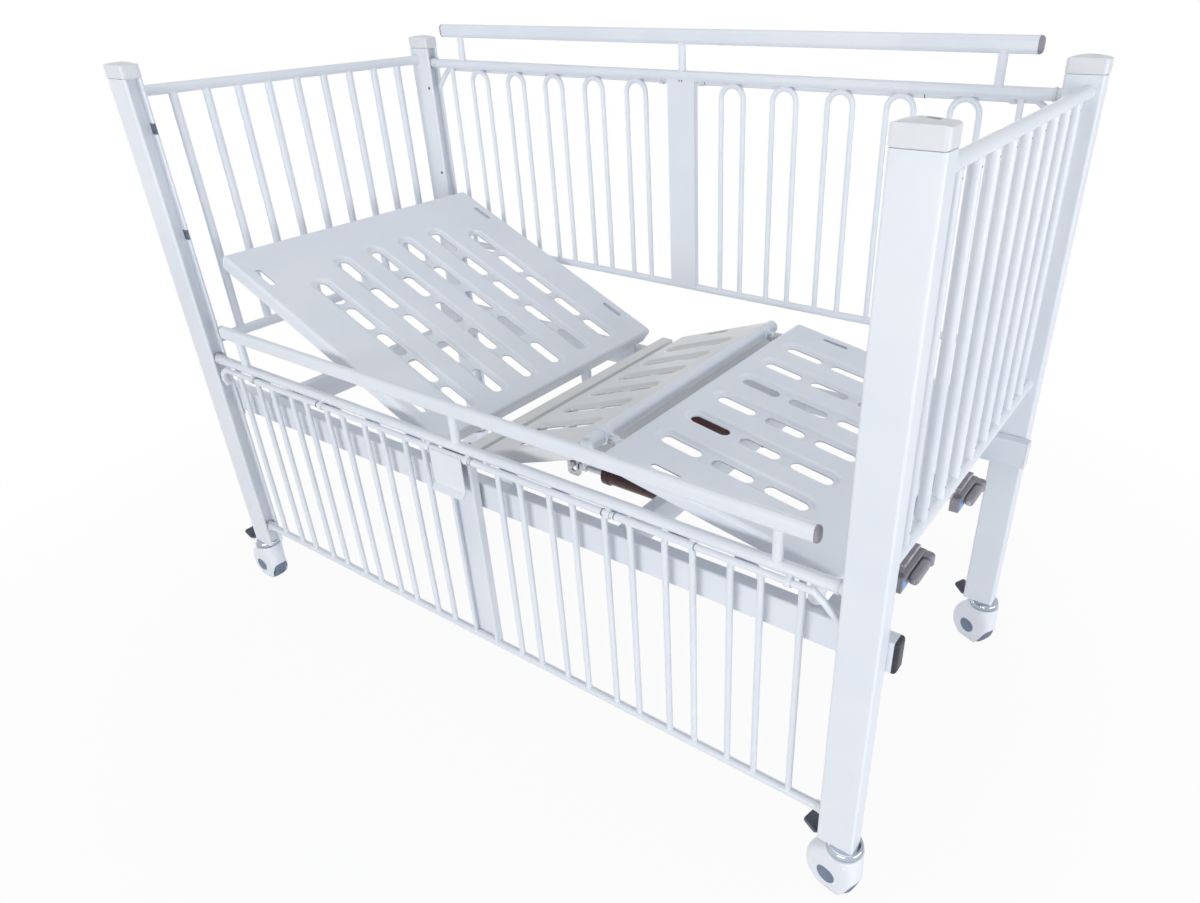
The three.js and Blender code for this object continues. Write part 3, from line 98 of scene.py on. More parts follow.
def make_piece(name, bm, material, body, stands_for=(), place=None, sheet=0.0, sharp=38):
    """Bring a mesh from millimetres to metres, close and smooth it, and put it on its body."""
    if place is not None:
        bmesh.ops.transform(bm, matrix=place, verts=bm.verts)
    bmesh.ops.scale(bm, vec=(MM, MM, MM), verts=bm.verts)
    bmesh.ops.remove_doubles(bm, verts=bm.verts, dist=0.002 * MM)
    bmesh.ops.recalc_face_normals(bm, faces=bm.faces)
    mesh = bpy.data.meshes.new(name)
    bm.to_mesh(mesh)
    bm.free()
    mesh.materials.append(material)
    mesh.shade_smooth()
    mesh.set_sharp_from_angle(angle=math.radians(sharp))
    piece = bpy.data.objects.new(name, mesh)
    SCENE.collection.objects.link(piece)
    if sheet:
        wall = piece.modifiers.new("sheet", "SOLIDIFY")
        wall.thickness, wall.offset, wall.use_even_offset = sheet * MM, -1, True
    crisp = piece.modifiers.new("crisp", "WEIGHTED_NORMAL")
    crisp.keep_sharp, crisp.weight = True, 90
    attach(piece, body)
    if stands_for:
        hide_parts(*stands_for)
    return piece


def made_verts(result):
    return [item for item in result["geom"] if isinstance(item, bmesh.types.BMVert)]


def edges_among(verts):
    members = set(verts)
    around = dict.fromkeys(edge for vert in verts for edge in vert.link_edges)
    return [edge for edge in around if edge.verts[0] in members and edge.verts[1] in members]


def ease(bm, items, radius, segments=2, affect="EDGES"):
    bmesh.ops.bevel(bm, geom=items, offset=radius, offset_type="OFFSET", segments=segments, profile=0.5,
                    affect=affect, clamp_overlap=True, material=-1)


def aim(centre, axis):
    return Matrix.Translation(centre) @ Vector(axis).to_track_quat("Z", "Y").to_matrix().to_4x4()


def turned(bm, profile, centre, axis, sides=32):
    """Turn (radius, along) points about an axis."""
    lathe = aim(centre, axis)
    verts = [bm.verts.new(lathe @ Vector((radius, 0, along))) for radius, along in profile]
    edges = [bm.edges.new(pair) for pair in zip(verts, verts[1:])]
    bmesh.ops.spin(bm, geom=verts + edges, cent=centre, axis=axis, dvec=(0, 0, 0), angle=2 * math.pi,
                   steps=sides, use_merge=True, use_normal_flip=False, use_duplicate=False)


def screw_head(bm, centre, axis, radius, tall, sides=24):
    dome = [(0, -1), (radius, -1), (radius, tall * 0.35), (radius * 0.82, tall * 0.8), (radius * 0.35, tall)]
    turned(bm, dome + [(radius * 0.3, tall * 0.55), (0, tall * 0.5)], centre, axis, sides)


for corner, (post_x, post_y) in CORNERS.items():
    standing = Matrix.Translation((post_x, post_y, 0)) @ Matrix.Rotation(math.pi if post_x < 0 else 0, 4, "Z")
    column = bmesh.new()
    blank = [column.verts.new((u, v, POST_FOOT)) for u, v in POST_OUTLINE]
    column.faces.new(blank)
    for fold, radius in zip(blank, POST_RADII):
        ease(column, [fold], radius, 5, "VERTICES")
    rolled = made_verts(bmesh.ops.extrude_face_region(column, geom=column.faces[:]))
    bmesh.ops.translate(column, vec=(0, 0, POST_HEAD - POST_FOOT), verts=rolled)
    for height in NOTCH_HEIGHTS:
        for level in (height - NOTCH_HALF_TALL, height + NOTCH_HALF_TALL):
            bmesh.ops.bisect_plane(column, geom=column.verts[:] + column.edges[:] + column.faces[:], dist=1e-4,
                                   plane_co=(0, 0, level), plane_no=(0, 0, 1))
    for edge_y in (-NOTCH_HALF_WIDE, NOTCH_HALF_WIDE):
        channel_floor = [f for f in column.faces if abs(f.calc_center_median().x + 17) < 0.1]
        cut_through = dict.fromkeys(item for f in channel_floor for item in (f, *f.edges, *f.verts))
        bmesh.ops.bisect_plane(column, geom=list(cut_through), dist=1e-4,
                               plane_co=(0, edge_y, 0), plane_no=(0, 1, 0))
    pierced = []
    for face in column.faces:
        middle = face.calc_center_median()
        in_notch = any(abs(middle.z - height) < NOTCH_HALF_TALL for height in NOTCH_HEIGHTS)
        if abs(middle.x + 17) < 0.1 and abs(middle.y) < NOTCH_HALF_WIDE and in_notch:
            pierced.append(face)
    sunk = made_verts(bmesh.ops.extrude_face_region(column, geom=pierced))
    bmesh.ops.translate(column, vec=(NOTCH_DEEP, 0, 0), verts=sunk)
    make_piece(f"column_{corner}", column, powder_coat, "frame", [f"post_{corner}"], standing)

    keepers, screws = bmesh.new(), bmesh.new()
    for height in NOTCH_HEIGHTS:
        tongue = Matrix.Translation((-11, 0, height - 9)) @ Matrix.Diagonal((2, 2 * NOTCH_HALF_WIDE - 1, 7, 1))
        ease(keepers, edges_among(bmesh.ops.create_cube(keepers, size=1.0, matrix=tongue)["verts"]), 0.4)
        inner = 20 if post_y < 0 else -20
        side = inner if post_x > 0 else -inner
        screw_head(screws, (-22, side, height), (0, math.copysign(1, side), 0), 3.8, 2)
    make_piece(f"latch_keepers_{corner}", keepers, zinc_plate, "frame", (), standing)
    make_piece(f"keeper_screws_{corner}", screws, notch_shade_and_dark_screws, "frame", (), standing)
    # On the near posts, dark boxes set just proud of the inner flange are painted shade in the notches that the latch
    # passes through.
    if post_y < 0:
        slots = bmesh.new()
        for height in NOTCH_HEIGHTS[1:]:
            gap = Matrix.Translation((-27.6, side * 0.72, height)) @ Matrix.Diagonal((13.2, 5.4, 22, 1))
            ease(slots, edges_among(bmesh.ops.create_cube(slots, size=1.0, matrix=gap)["verts"]), 0.5)
        make_piece(f"latch_notch_shade_{corner}", slots, notch_shade_and_dark_screws, "frame", (), standing)

# Post caps: neutral white plastic mouldings pressed into the posts. The top is arched along the cot and has a
# round socket for a drip pole; a small step at the foot leaves the seam that shows against the column.
CAP_HALF_X, CAP_HALF_Y, CAP_CORNER = 35, 21, 7
CAP_TOP, CAP_ARCH = 1312.4, 6
SOCKET_X, SOCKET_RADIUS, SOCKET_DEEP = 8.5, 9.5, 30
CAP_WHITE, CAP_SHADE = (0.77, 0.79, 0.81), (0.73, 0.75, 0.77)
cap_plastic = mottled("cap_plastic_white", CAP_WHITE, CAP_SHADE, (0.38, 0.50), 1400, 0.25, 12)


def rounded_outline(half_u, half_v, radius, steps=8, centre=(0, 0)):
    """Points round a rectangle with rounded corners, anticlockwise."""
    points = []
    for quarter, (su, sv) in enumerate(((1, 1), (-1, 1), (-1, -1), (1, -1))):
        for step in range(steps + 1):
            angle = math.radians(90) * (quarter + step / steps)
            points.append((centre[0] + su * (half_u - radius) + radius * math.cos(angle),
                           centre[1] + sv * (half_v - radius) + radius * math.sin(angle)))
    return points


def loop_of(bm, points):
    verts = [bm.verts.new(point) for point in points]
    return [bm.edges.new(pair) for pair in zip(verts, verts[1:] + verts[:1])]


def skin(bm, loops):
    for low, high in zip(loops, loops[1:]):
        bmesh.ops.bridge_loops(bm, edges=low + high)


for corner, (post_x, post_y) in CORNERS.items():
    standing = Matrix.Translation((post_x, post_y, 0)) @ Matrix.Rotation(math.pi if post_x < 0 else 0, 4, "Z")
    cap = bmesh.new()
    loops = []
    for inset, level, arched in ((3.2, 1288.2, 0), (3.2, 1289.7, 0), (0, 1289.9, 0), (0, CAP_TOP - 0.8, 1),
                                 (0.3, CAP_TOP + 0.1, 1), (1, CAP_TOP + 0.5, 1), (4, CAP_TOP + 0.6, 1)):
        ring = rounded_outline(CAP_HALF_X - inset, CAP_HALF_Y - inset, max(CAP_CORNER - inset, 1.5))
        loops.append(loop_of(cap, [(u, v, level + arched * CAP_ARCH * (1 - (u / CAP_HALF_X) ** 2)) for u, v in ring]))
    brim = rounded_outline(CAP_HALF_X - 4, CAP_HALF_Y - 4, CAP_CORNER - 4)
    rim_places = [math.atan2(v, u - SOCKET_X) for u, v in brim]
    for share in (0.35, 0.7, 0.9, 1.0):
        ring = []
        for (u, v), angle in zip(brim, rim_places):
            x = u + share * (SOCKET_X + SOCKET_RADIUS * math.cos(angle) - u)
            y = v + share * (SOCKET_RADIUS * math.sin(angle) - v)
            ring.append((x, y, CAP_TOP + 0.6 + CAP_ARCH * (1 - (x / CAP_HALF_X) ** 2)))
        loops.append(loop_of(cap, ring))
    for shrink, drop in ((0.6, 0.8), (0.8, 3), (0.8, SOCKET_DEEP)):
        bore = SOCKET_RADIUS - shrink
        level = CAP_TOP + CAP_ARCH - drop
        loops.append(loop_of(cap, [(SOCKET_X + bore * math.cos(a), bore * math.sin(a), level) for a in rim_places]))
    skin(cap, loops)
    for open_end in (loops[0], loops[-1]):
        bmesh.ops.edgeloop_fill(cap, edges=open_end)
    make_piece(f"cap_{corner}", cap, cap_plastic, "frame", [f"post_cap_{corner}"], standing)

# Barred ends: a top and a bottom tube between the posts with upright tubes welded in, powder coated as one.
# Each upright has a small vent at its top and a drain at its foot, drilled before coating; they are drawn as shallow
# dark grey discs, painted shade for the open holes.
END_X = 858
END_TOP, END_TOP_RADIUS = 1260, 11
END_BOTTOM, END_BOTTOM_RADIUS = 707, 12
END_REACH = 379.7
END_BARS, END_PITCH, END_BAR_RADIUS = 9, 76.5, 9.5
# A dark grey that is painted shade: inside the drilled holes and in the seams at the ends of the latch sleeves. The
# plate rivet heads take it too.
GAP_SHADE_GREY, GAP_SHADE_DARK = (0.30, 0.31, 0.34), (0.20, 0.21, 0.24)
dark_rivets_and_gap_shade = mottled("painted_gap_shade_and_dark_rivets", GAP_SHADE_GREY, GAP_SHADE_DARK, (0.6, 0.8), 800, 0.2, 60)


def draw_tube(bm, points, radius, bend=0.0, sides=24, steps=10):
    """Pull a round tube along its centre line, bent to a radius at each corner and closed at both ends."""
    points = [Vector(point) for point in points]
    heading = (points[1] - points[0]).normalized()
    mouth = bmesh.ops.create_circle(bm, segments=sides, radius=radius, matrix=aim(points[0], heading))["verts"]
    first = rim = edges_among(mouth)
    here = points[0]

    def pull(rim, by):
        if by.length < 1e-6:
            return rim
        ahead = made_verts(bmesh.ops.extrude_edge_only(bm, edges=rim))
        bmesh.ops.translate(bm, vec=by, verts=ahead)
        return edges_among(ahead)

    for corner, after in zip(points[1:-1], points[2:]):
        onward = (after - corner).normalized()
        angle = heading.angle(onward)
        axis = heading.cross(onward).normalized()
        setback = bend * math.tan(angle / 2)
        start = corner - heading * setback
        rim = pull(rim, start - here)
        swept = bmesh.ops.spin(bm, geom=rim + list(dict.fromkeys(v for e in rim for v in e.verts)),
                               cent=start + axis.cross(heading) * bend, axis=axis, dvec=(0, 0, 0), angle=angle,
                               steps=steps, use_merge=False, use_normal_flip=False, use_duplicate=False)
        rim = edges_among([item for item in swept["geom_last"] if isinstance(item, bmesh.types.BMVert)])
        here, heading = corner + onward * setback, onward
    rim = pull(rim, points[-1] - here)
    for end in (first, rim):
        bmesh.ops.edgeloop_fill(bm, edges=end)


def weld_bead(bm, centre, axis, radius, thick=1.6, sides=24):
    """The raised ring of weld where one tube meets another."""
    bead = [(radius - thick, -1.2 * thick), (radius + 0.5 * thick, -0.8 * thick), (radius + 0.75 * thick, 0),
            (radius + 0.3 * thick, 0.9 * thick), (radius - thick, 1.2 * thick)]
    turned(bm, bead + bead[:1], centre, axis, sides)


for end, sign in (("head", -1), ("foot", 1)):
    panel, holes = bmesh.new(), bmesh.new()
    x = sign * END_X
    for level, radius in ((END_TOP, END_TOP_RADIUS), (END_BOTTOM, END_BOTTOM_RADIUS)):
        draw_tube(panel, [(x, -END_REACH, level), (x, END_REACH, level)], radius, sides=32)
        for side in (-1, 1):
            weld_bead(panel, (x, side * (END_REACH - 0.6), level), (0, side, 0), radius)
    for place in range(END_BARS):
        y = (place - (END_BARS - 1) / 2) * END_PITCH
        draw_tube(panel, [(x, y, END_BOTTOM), (x, y, END_TOP)], END_BAR_RADIUS)
        for level, away in ((END_BOTTOM + 9.6, 1), (END_TOP - 8.6, -1)):
            weld_bead(panel, (x, y, level), (0, 0, away), END_BAR_RADIUS, 1.2)
        for level, size in ((END_BOTTOM + 30, 2.1), (END_TOP - 19, 1.7)):
            drilled = [(0, -0.6), (size, -0.6), (size, 0.05), (size * 0.8, 0.12), (0, -0.1)]
            turned(holes, drilled, (x + sign * END_BAR_RADIUS, y, level), (sign, 0, 0), 14)
    make_piece(f"barred_end_{end}", panel, powder_coat, "frame", [f"end_panel_{end}"])
    make_piece(f"vent_hole_shade_{end}", holes, dark_rivets_and_gap_shade, "frame")

# Side beams: rectangular steel tubes along both sides, bolted through seat plates to the posts. Inside, lugs
# carry the hinge pins of the deck. Domed plugs close the tube ends, black on the near side and white on the far.
BEAM_END, BEAM_MID_Y, BEAM_MID_Z = 890, 364.7, 557
BEAM_HALF_Y, BEAM_HALF_Z, BEAM_CORNER = 15, 30, 4
HINGE_Z, BACK_HINGE_X, THIGH_HINGE_X = 621, -145, 72.5
SEAT_LOW, SEAT_HALF = 515, 28
LUG_INNER, LUG_OUTER, LUG_PIN_END = 341.7, 350.9, 325.7
PLUG_BLACK, PLUG_GREY = (0.014, 0.016, 0.024), (0.022, 0.025, 0.036)
black_plastic = mottled("moulded_black", PLUG_BLACK, PLUG_GREY, (0.34, 0.52), 1600, 0.35, 30)
ALONG_X = Matrix(((0, 0, 1, 0), (1, 0, 0, 0), (0, 1, 0, 0), (0, 0, 0, 1)))
ALONG_Y = Matrix(((1, 0, 0, 0), (0, 0, -1, 0), (0, 1, 0, 0), (0, 0, 0, 1)))


def slab(bm, outline, place, thick, edge=0.8, segments=2):
    """A blank cut to an outline in its own plane, raised to a thickness, its rims eased."""
    blank = [bm.verts.new(place @ Vector((u, v, 0))) for u, v in outline]
    face = bm.faces.new(blank)
    raised = made_verts(bmesh.ops.extrude_face_region(bm, geom=[face]))
    bmesh.ops.translate(bm, vec=place.to_3x3() @ Vector((0, 0, thick)), verts=raised)
    if edge:
        ease(bm, edges_among(blank) + edges_among(raised), edge, segments)


def waisted(u0, v0, r0, u1, v1, r1, steps=10):
    """Outline of two circles joined by their tangents, anticlockwise."""
    heading = math.atan2(v1 - v0, u1 - u0)
    lean = math.acos((r0 - r1) / math.hypot(u1 - u0, v1 - v0))
    points = []
    for u, v, r, start, sweep in ((u1, v1, r1, heading - lean, 2 * lean),
                                  (u0, v0, r0, heading + lean, 2 * (math.pi - lean))):
        for step in range(steps + 1):
            angle = start + sweep * step / steps
            points.append((u + r * math.cos(angle), v + r * math.sin(angle)))
    return points


def hex_bolt(bm, centre, axis, across, tall):
    """A hexagon head on its washer."""
    turned(bm, [(0, -1), (across * 1.25, -1), (across * 1.25, 1.2), (across * 1.15, 1.5), (0, 1.5)], centre, axis, 28)
    turned(bm, [(0, 1), (across, 1), (across, tall - 0.8), (across - 0.9, tall), (0, tall)], centre, axis, 6)


for side, sign in (("near", -1), ("far", 1)):
    beam, bolts, seat_bolts = bmesh.new(), bmesh.new(), bmesh.new()
    tube = rounded_outline(BEAM_HALF_Y, BEAM_HALF_Z, BEAM_CORNER, 5, (sign * BEAM_MID_Y, BEAM_MID_Z))
    slab(beam, tube, Matrix.Translation((-BEAM_END, 0, 0)) @ ALONG_X, 2 * BEAM_END, 0.5)
    for x in (-848, 848):
        seat = [(x - SEAT_HALF, SEAT_LOW), (x + SEAT_HALF, SEAT_LOW),
                (x + SEAT_HALF, SEAT_LOW + 13), (x - SEAT_HALF, SEAT_LOW + 13)]
        slab(beam, seat, Matrix.Translation((0, sign * 377.2 + 2.5, 0)) @ ALONG_Y, 5, 0.8)
        for dx in (-14, 14):
            hex_bolt(seat_bolts, (x + dx, sign * 374.7, SEAT_LOW + 6), (0, -sign, 0), 3.6, 5)
    for x in (BACK_HINGE_X, THIGH_HINGE_X):
        lug = waisted(x, 547, 18, x, HINGE_Z, 14)
        inner, outer = sorted((sign * LUG_INNER, sign * LUG_OUTER))
        slab(beam, lug, Matrix.Translation((0, outer, 0)) @ ALONG_Y, outer - inner, 1)
        draw_tube(bolts, [(x, sign * LUG_OUTER, HINGE_Z), (x, sign * LUG_PIN_END, HINGE_Z)], 6)
        hex_bolt(bolts, (x, sign * (LUG_OUTER + 0.3), HINGE_Z), (0, sign, 0), 9, 7)
    make_piece(f"beam_{side}", beam, powder_coat, "frame", [f"side_beam_{side}"])
    make_piece(f"beam_bolts_{side}", bolts, zinc_plate, "frame")
    make_piece(f"seat_bolts_{side}", seat_bolts, black_plastic, "frame")
    plug_finish, plug_slot = (black_plastic, "black_plastic") if sign < 0 else (cap_plastic, "cap_plastic")
    dome = 1.0 if sign < 0 else 0.35
    for end, way in (("head", -1), ("foot", 1)):
        plug = bmesh.new()
        loops = []
        for inset, along in ((3, -18), (3, 0.3), (0, 0.3), (0, 2.6), (0.7, 4.6), (2.2, 6.4), (4.6, 7.6), (8, 8.2)):
            ring = rounded_outline(BEAM_HALF_Y - inset, BEAM_HALF_Z - inset, max(5 - inset, 2), 6)
            proud = along * dome if along > 1 else along
            loops.append(loop_of(plug, [(way * (BEAM_END + proud), sign * BEAM_MID_Y + u, BEAM_MID_Z + v)
                                        for u, v in ring]))
        skin(plug, loops)
        for open_end in (loops[0], loops[-1]):
            bmesh.ops.edgeloop_fill(plug, edges=open_end)
        make_piece(f"plug_{end}_{side}", plug, plug_finish, "frame", [f"beam_plug_{end}_{side}"])

# Cross tubes and the seat strip: rectangular tubes welded between the side beams, with bushed holes for the
# crank shafts, and an upturned steel channel that lies across the beams between the moving deck sections.
CROSS_REACH, CROSS_HALF_X, CROSS_HALF_Z = 349.4, 15, 28
DRIVE_Y, DRIVE_Z = 150, 540
STRIP_FROM, STRIP_TO, STRIP_LOW, STRIP_TOP, STRIP_SHEET, STRIP_REACH = -58, -26, 587.3, 622.3, 4, 375.7
# A greyer copy of the white powder coat is painted shade: the seat channel and the thigh section stand in shadow and
# wear it instead of the white.
SHADED_COAT_GREY, SHADED_COAT_DARK = (0.76, 0.76, 0.75), (0.71, 0.71, 0.71)
shaded_coat = mottled("powder_coat_painted_shade", SHADED_COAT_GREY, SHADED_COAT_DARK, (0.30, 0.42), 650, 0.30)
for place, x, bored in (("head", -700, False), ("mid", 362, True), ("foot", 775, True)):
    cross = bmesh.new()
    tube = rounded_outline(CROSS_HALF_X, CROSS_HALF_Z, 4, 5, (x, BEAM_MID_Z))
    slab(cross, tube, Matrix.Translation((0, CROSS_REACH, 0)) @ ALONG_Y, 2 * CROSS_REACH, 0.4)
    make_piece(f"cross_bar_{place}", cross, powder_coat, "frame", [f"cross_tube_{place}"])
    if bored:
        bushes = bmesh.new()
        for y in (-DRIVE_Y, DRIVE_Y):
            for way in (-1, 1):
                flange = [(8.4, -2), (15, -2), (15, 1.6), (14, 2.4), (9.2, 2.4), (8.4, 1.6), (8.4, -2)]
                turned(bushes, flange, (x + way * CROSS_HALF_X, y, DRIVE_Z), (way, 0, 0))
        make_piece(f"shaft_bushes_{place}", bushes, black_plastic, "frame")
# The seat channel takes the greyer copy of the coat, which is painted shade.
strip = bmesh.new()
fold = [(STRIP_FROM, STRIP_LOW), (STRIP_FROM + STRIP_SHEET, STRIP_LOW),
        (STRIP_FROM + STRIP_SHEET, STRIP_TOP - STRIP_SHEET), (STRIP_TO - STRIP_SHEET, STRIP_TOP - STRIP_SHEET),
        (STRIP_TO - STRIP_SHEET, STRIP_LOW), (STRIP_TO, STRIP_LOW), (STRIP_TO, STRIP_TOP), (STRIP_FROM, STRIP_TOP)]
slab(strip, fold, Matrix.Translation((0, STRIP_REACH, 0)) @ ALONG_Y, 2 * STRIP_REACH, 0)
folds = [e for e in strip.edges if abs(e.verts[0].co.y - e.verts[1].co.y) > 1]
ease(strip, folds, 2, 3)
make_piece("seat_channel", strip, shaded_coat, "frame", ["seat_strip"])

# Deck sections: sheet steel pressed into channels with long holes and folded down all round, powder coated.
# Under them sit the hinge eyes, the levers that the drives move, and the feet that glide along the beams.
SHEET = 3
LIP, FOLD = 30, 8
CHANNEL_PLACES = [place * 97 for place in (-2.5, -1.5, -0.5, 0.5, 1.5, 2.5)]
PRESS_WIDTH = 50
PRESS_PROFILE = ((-1.5, 0), (0, -0.2), (1.5, -1.2), (3.4, -3.6), (5.4, -6.4), (7, -7.7), (8.6, -8))
SLOT_WIDE, SLOT_LONG = 27, 84
DECK_TOP, LEG_TOP = 42, 24
LEVER_DROP, LEVER_THICK = 80, 8
RELIEF_FROM, RELIEF_Y, RELIEF_TOP = 19, 343.7, 30


def long_hole(bm, middle, y, long, wide, z, sides=20):
    """A loop with half-round ends, its length along the cot."""
    hole = bmesh.ops.create_circle(bm, segments=sides, radius=wide / 2,
                                   matrix=Matrix.Rotation(math.pi / sides, 4, "Z"))["verts"]
    for vert in hole:
        vert.co += Vector((middle + math.copysign((long - wide) / 2, vert.co.x), y, z))
    return edges_among(hole)


def press_sheet(bm, start, stop, half, top, channels, slots, side_holes):
    """The skin of a deck section about its hinge; channels are (from, to, y)."""
    middle, reach = (start + stop) / 2, (stop - start) / 2
    rims = []
    for share in (0, 0.2, 0.4, 0.6, 0.8, 1.0):
        bend = share * math.pi / 2
        inset, level = FOLD * (1 - math.sin(bend)), top - FOLD * (1 - math.cos(bend))
        ring = rounded_outline(reach - inset, half - inset, FOLD + 2 - inset, 6, (middle, 0))
        rims.append(loop_of(bm, [(u, v, level) for u, v in ring]))
    ring = rounded_outline(reach, half, FOLD + 2, 6, (middle, 0))
    rims.append(loop_of(bm, [(u, v, top - LIP) for u, v in ring]))
    skin(bm, rims)
    flat = list(rims[0])
    for begin, finish, y in channels:
        long, centre = abs(finish - begin), (begin + finish) / 2
        walls = [long_hole(bm, centre, y, long - 2 * inset, PRESS_WIDTH - 2 * inset, top + drop)
                 for inset, drop in PRESS_PROFILE]
        skin(bm, walls)
        flat += walls[0]
        floor = list(walls[-1])
        pitch = long / slots
        for place in range(slots):
            x = min(begin, finish) + (place + 0.5) * pitch
            floor += long_hole(bm, x, y, min(SLOT_LONG, pitch - 14), SLOT_WIDE, top + PRESS_PROFILE[-1][1])
        bmesh.ops.triangle_fill(bm, edges=floor, use_beauty=True)
    for x in side_holes:
        for y in (-335, 335):
            flat += long_hole(bm, x, y, 60, 14, top, 12)
    bmesh.ops.triangle_fill(bm, edges=flat, use_beauty=True)
    bmesh.ops.recalc_face_normals(bm, faces=bm.faces)
    if sum(face.normal.z * face.calc_area() for face in bm.faces) < 0:
        bmesh.ops.reverse_faces(bm, faces=bm.faces)


def make_sheet(name, bm, coat, body, stands_for, place):
    """A pressed sheet keeps its facing, and gets its thickness downwards."""
    bmesh.ops.transform(bm, matrix=place, verts=bm.verts)
    bmesh.ops.scale(bm, vec=(MM, MM, MM), verts=bm.verts)
    bmesh.ops.remove_doubles(bm, verts=bm.verts, dist=0.002 * MM)
    mesh = bpy.data.meshes.new(name)
    bm.to_mesh(mesh)
    bm.free()
    mesh.materials.append(coat)
    mesh.shade_smooth()
    mesh.set_sharp_from_angle(angle=math.radians(50))
    piece = bpy.data.objects.new(name, mesh)
    SCENE.collection.objects.link(piece)
    wall = piece.modifiers.new("sheet", "SOLIDIFY")
    wall.thickness, wall.offset, wall.use_even_offset = SHEET * MM, -1, True
    crisp = piece.modifiers.new("crisp", "WEIGHTED_NORMAL")
    crisp.keep_sharp, crisp.weight = True, 90
    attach(piece, body)
    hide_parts(*stands_for)


def hinge_fittings(bm, top, lever_y, lever_lean):
    """The two hinge eyes and the lever under a section, with the lever's pin."""
    for side in (-1, 1):
        eye = waisted(0, 0, 14, 0, top - 16, 14.5)
        slab(bm, eye, Matrix.Translation((0, side * 333.7 + 4, 0)) @ ALONG_Y, 8, 1)
    pin_x, pin_z = LEVER_DROP * math.sin(lever_lean), -LEVER_DROP * math.cos(lever_lean)
    arm = waisted(0, top - 30, 18, pin_x, pin_z, 12)
    slab(bm, arm, Matrix.Translation((0, lever_y + LEVER_THICK / 2, 0)) @ ALONG_Y, LEVER_THICK, 1)
    away = math.copysign(1, lever_y)
    draw_tube(bm, [(pin_x, lever_y, pin_z), (pin_x, lever_y + away * 17, pin_z)], 6)


back_place = Matrix.Translation((BACK_HINGE_X, 0, HINGE_Z)) @ Matrix.Rotation(math.radians(24), 4, "Y")
thigh_place = Matrix.Translation((THIGH_HINGE_X, 0, HINGE_Z)) @ Matrix.Rotation(math.radians(-19.7), 4, "Y")
leg_place = thigh_place @ Matrix.Translation((258, 0, 18)) @ Matrix.Rotation(math.radians(29.8), 4, "Y")

back_sheet = bmesh.new()
back_channels = [(9, -553 if abs(y) < 200 else -503, y) for y in CHANNEL_PLACES]
press_sheet(back_sheet, -662, 45, 368, DECK_TOP, back_channels, 5, (-554, -69))
for spot, across in (((RELIEF_FROM, 0, 0), (1, 0, 0)), ((0, -RELIEF_Y, 0), (0, 1, 0)), ((0, RELIEF_Y, 0), (0, 1, 0))):
    lip = [face for face in back_sheet.faces if face.calc_center_median().z < RELIEF_TOP]
    bmesh.ops.bisect_plane(back_sheet, geom=list(dict.fromkeys(i for f in lip for i in (f, *f.edges, *f.verts))),
                           dist=1e-4, plane_co=spot, plane_no=across)
for vert in back_sheet.verts:
    if vert.co.z < RELIEF_TOP and vert.co.x > RELIEF_FROM + 0.1 and abs(vert.co.y) > RELIEF_Y + 0.1:
        vert.co.z = RELIEF_TOP
make_sheet("back_rest", back_sheet, powder_coat, "back", ["back_section"], back_place)
back_fittings = bmesh.new()
hinge_fittings(back_fittings, DECK_TOP, DRIVE_Y, math.radians(32.5))
make_piece("back_rest_fittings", back_fittings, powder_coat, "back", (), back_place)

# The thigh section and its fittings take the greyer copy of the coat, which is painted shade.
thigh_sheet = bmesh.new()
press_sheet(thigh_sheet, -46, 219.7, 360, DECK_TOP, [(-12, 184, y) for y in CHANNEL_PLACES], 2, (84,))
make_sheet("thigh_rest", thigh_sheet, shaded_coat, "thigh", ["thigh_section"], thigh_place)
thigh_fittings = bmesh.new()
hinge_fittings(thigh_fittings, DECK_TOP, -DRIVE_Y, math.radians(-14))
apron = [(-352, -8), (352, -8), (352, 13), (-352, 13)]
slab(thigh_fittings, apron, Matrix.Translation((216.7, 0, 0)) @ ALONG_X, 3, 0.9)
make_piece("thigh_rest_fittings", thigh_fittings, shaded_coat, "thigh", (), thigh_place)

knee_bar, knee_bolts = bmesh.new(), bmesh.new()
draw_tube(knee_bar, [(235, -342, 32.5), (235, 342, 32.5)], 15, sides=36)
for side in (-1, 1):
    ends = [(0, -0.5), (14.2, -0.5), (14.2, 1.4), (12.5, 2.6), (9, 3.2), (0, 3.4)]
    turned(knee_bar, ends, (235, side * 342, 32.5), (0, side, 0), 36)
    clip = waisted(235, 32.5, 16.5, 258, 18, 9)
    slab(knee_bar, clip, Matrix.Translation((0, side * 295 + 3, 0)) @ ALONG_Y, 6, 1)
    slab(knee_bar, waisted(235, 32.5, 16.2, 238, 31, 16), Matrix.Translation((0, side * 295 + 11, 0)) @ ALONG_Y, 22, 1)
    draw_tube(knee_bolts, [(258, side * 287, 18), (258, side * 307, 18)], 5)
    hex_bolt(knee_bolts, (258, side * 292, 18), (0, -side, 0), 7.5, 6.5)
    hex_bolt(knee_bolts, (258, side * 305.5, 18), (0, side, 0), 7, 5)
make_piece("knee_bar", knee_bar, powder_coat, "thigh", ["knee_tube"], thigh_place)
make_piece("knee_bolts", knee_bolts, zinc_plate, "thigh", (), thigh_place)

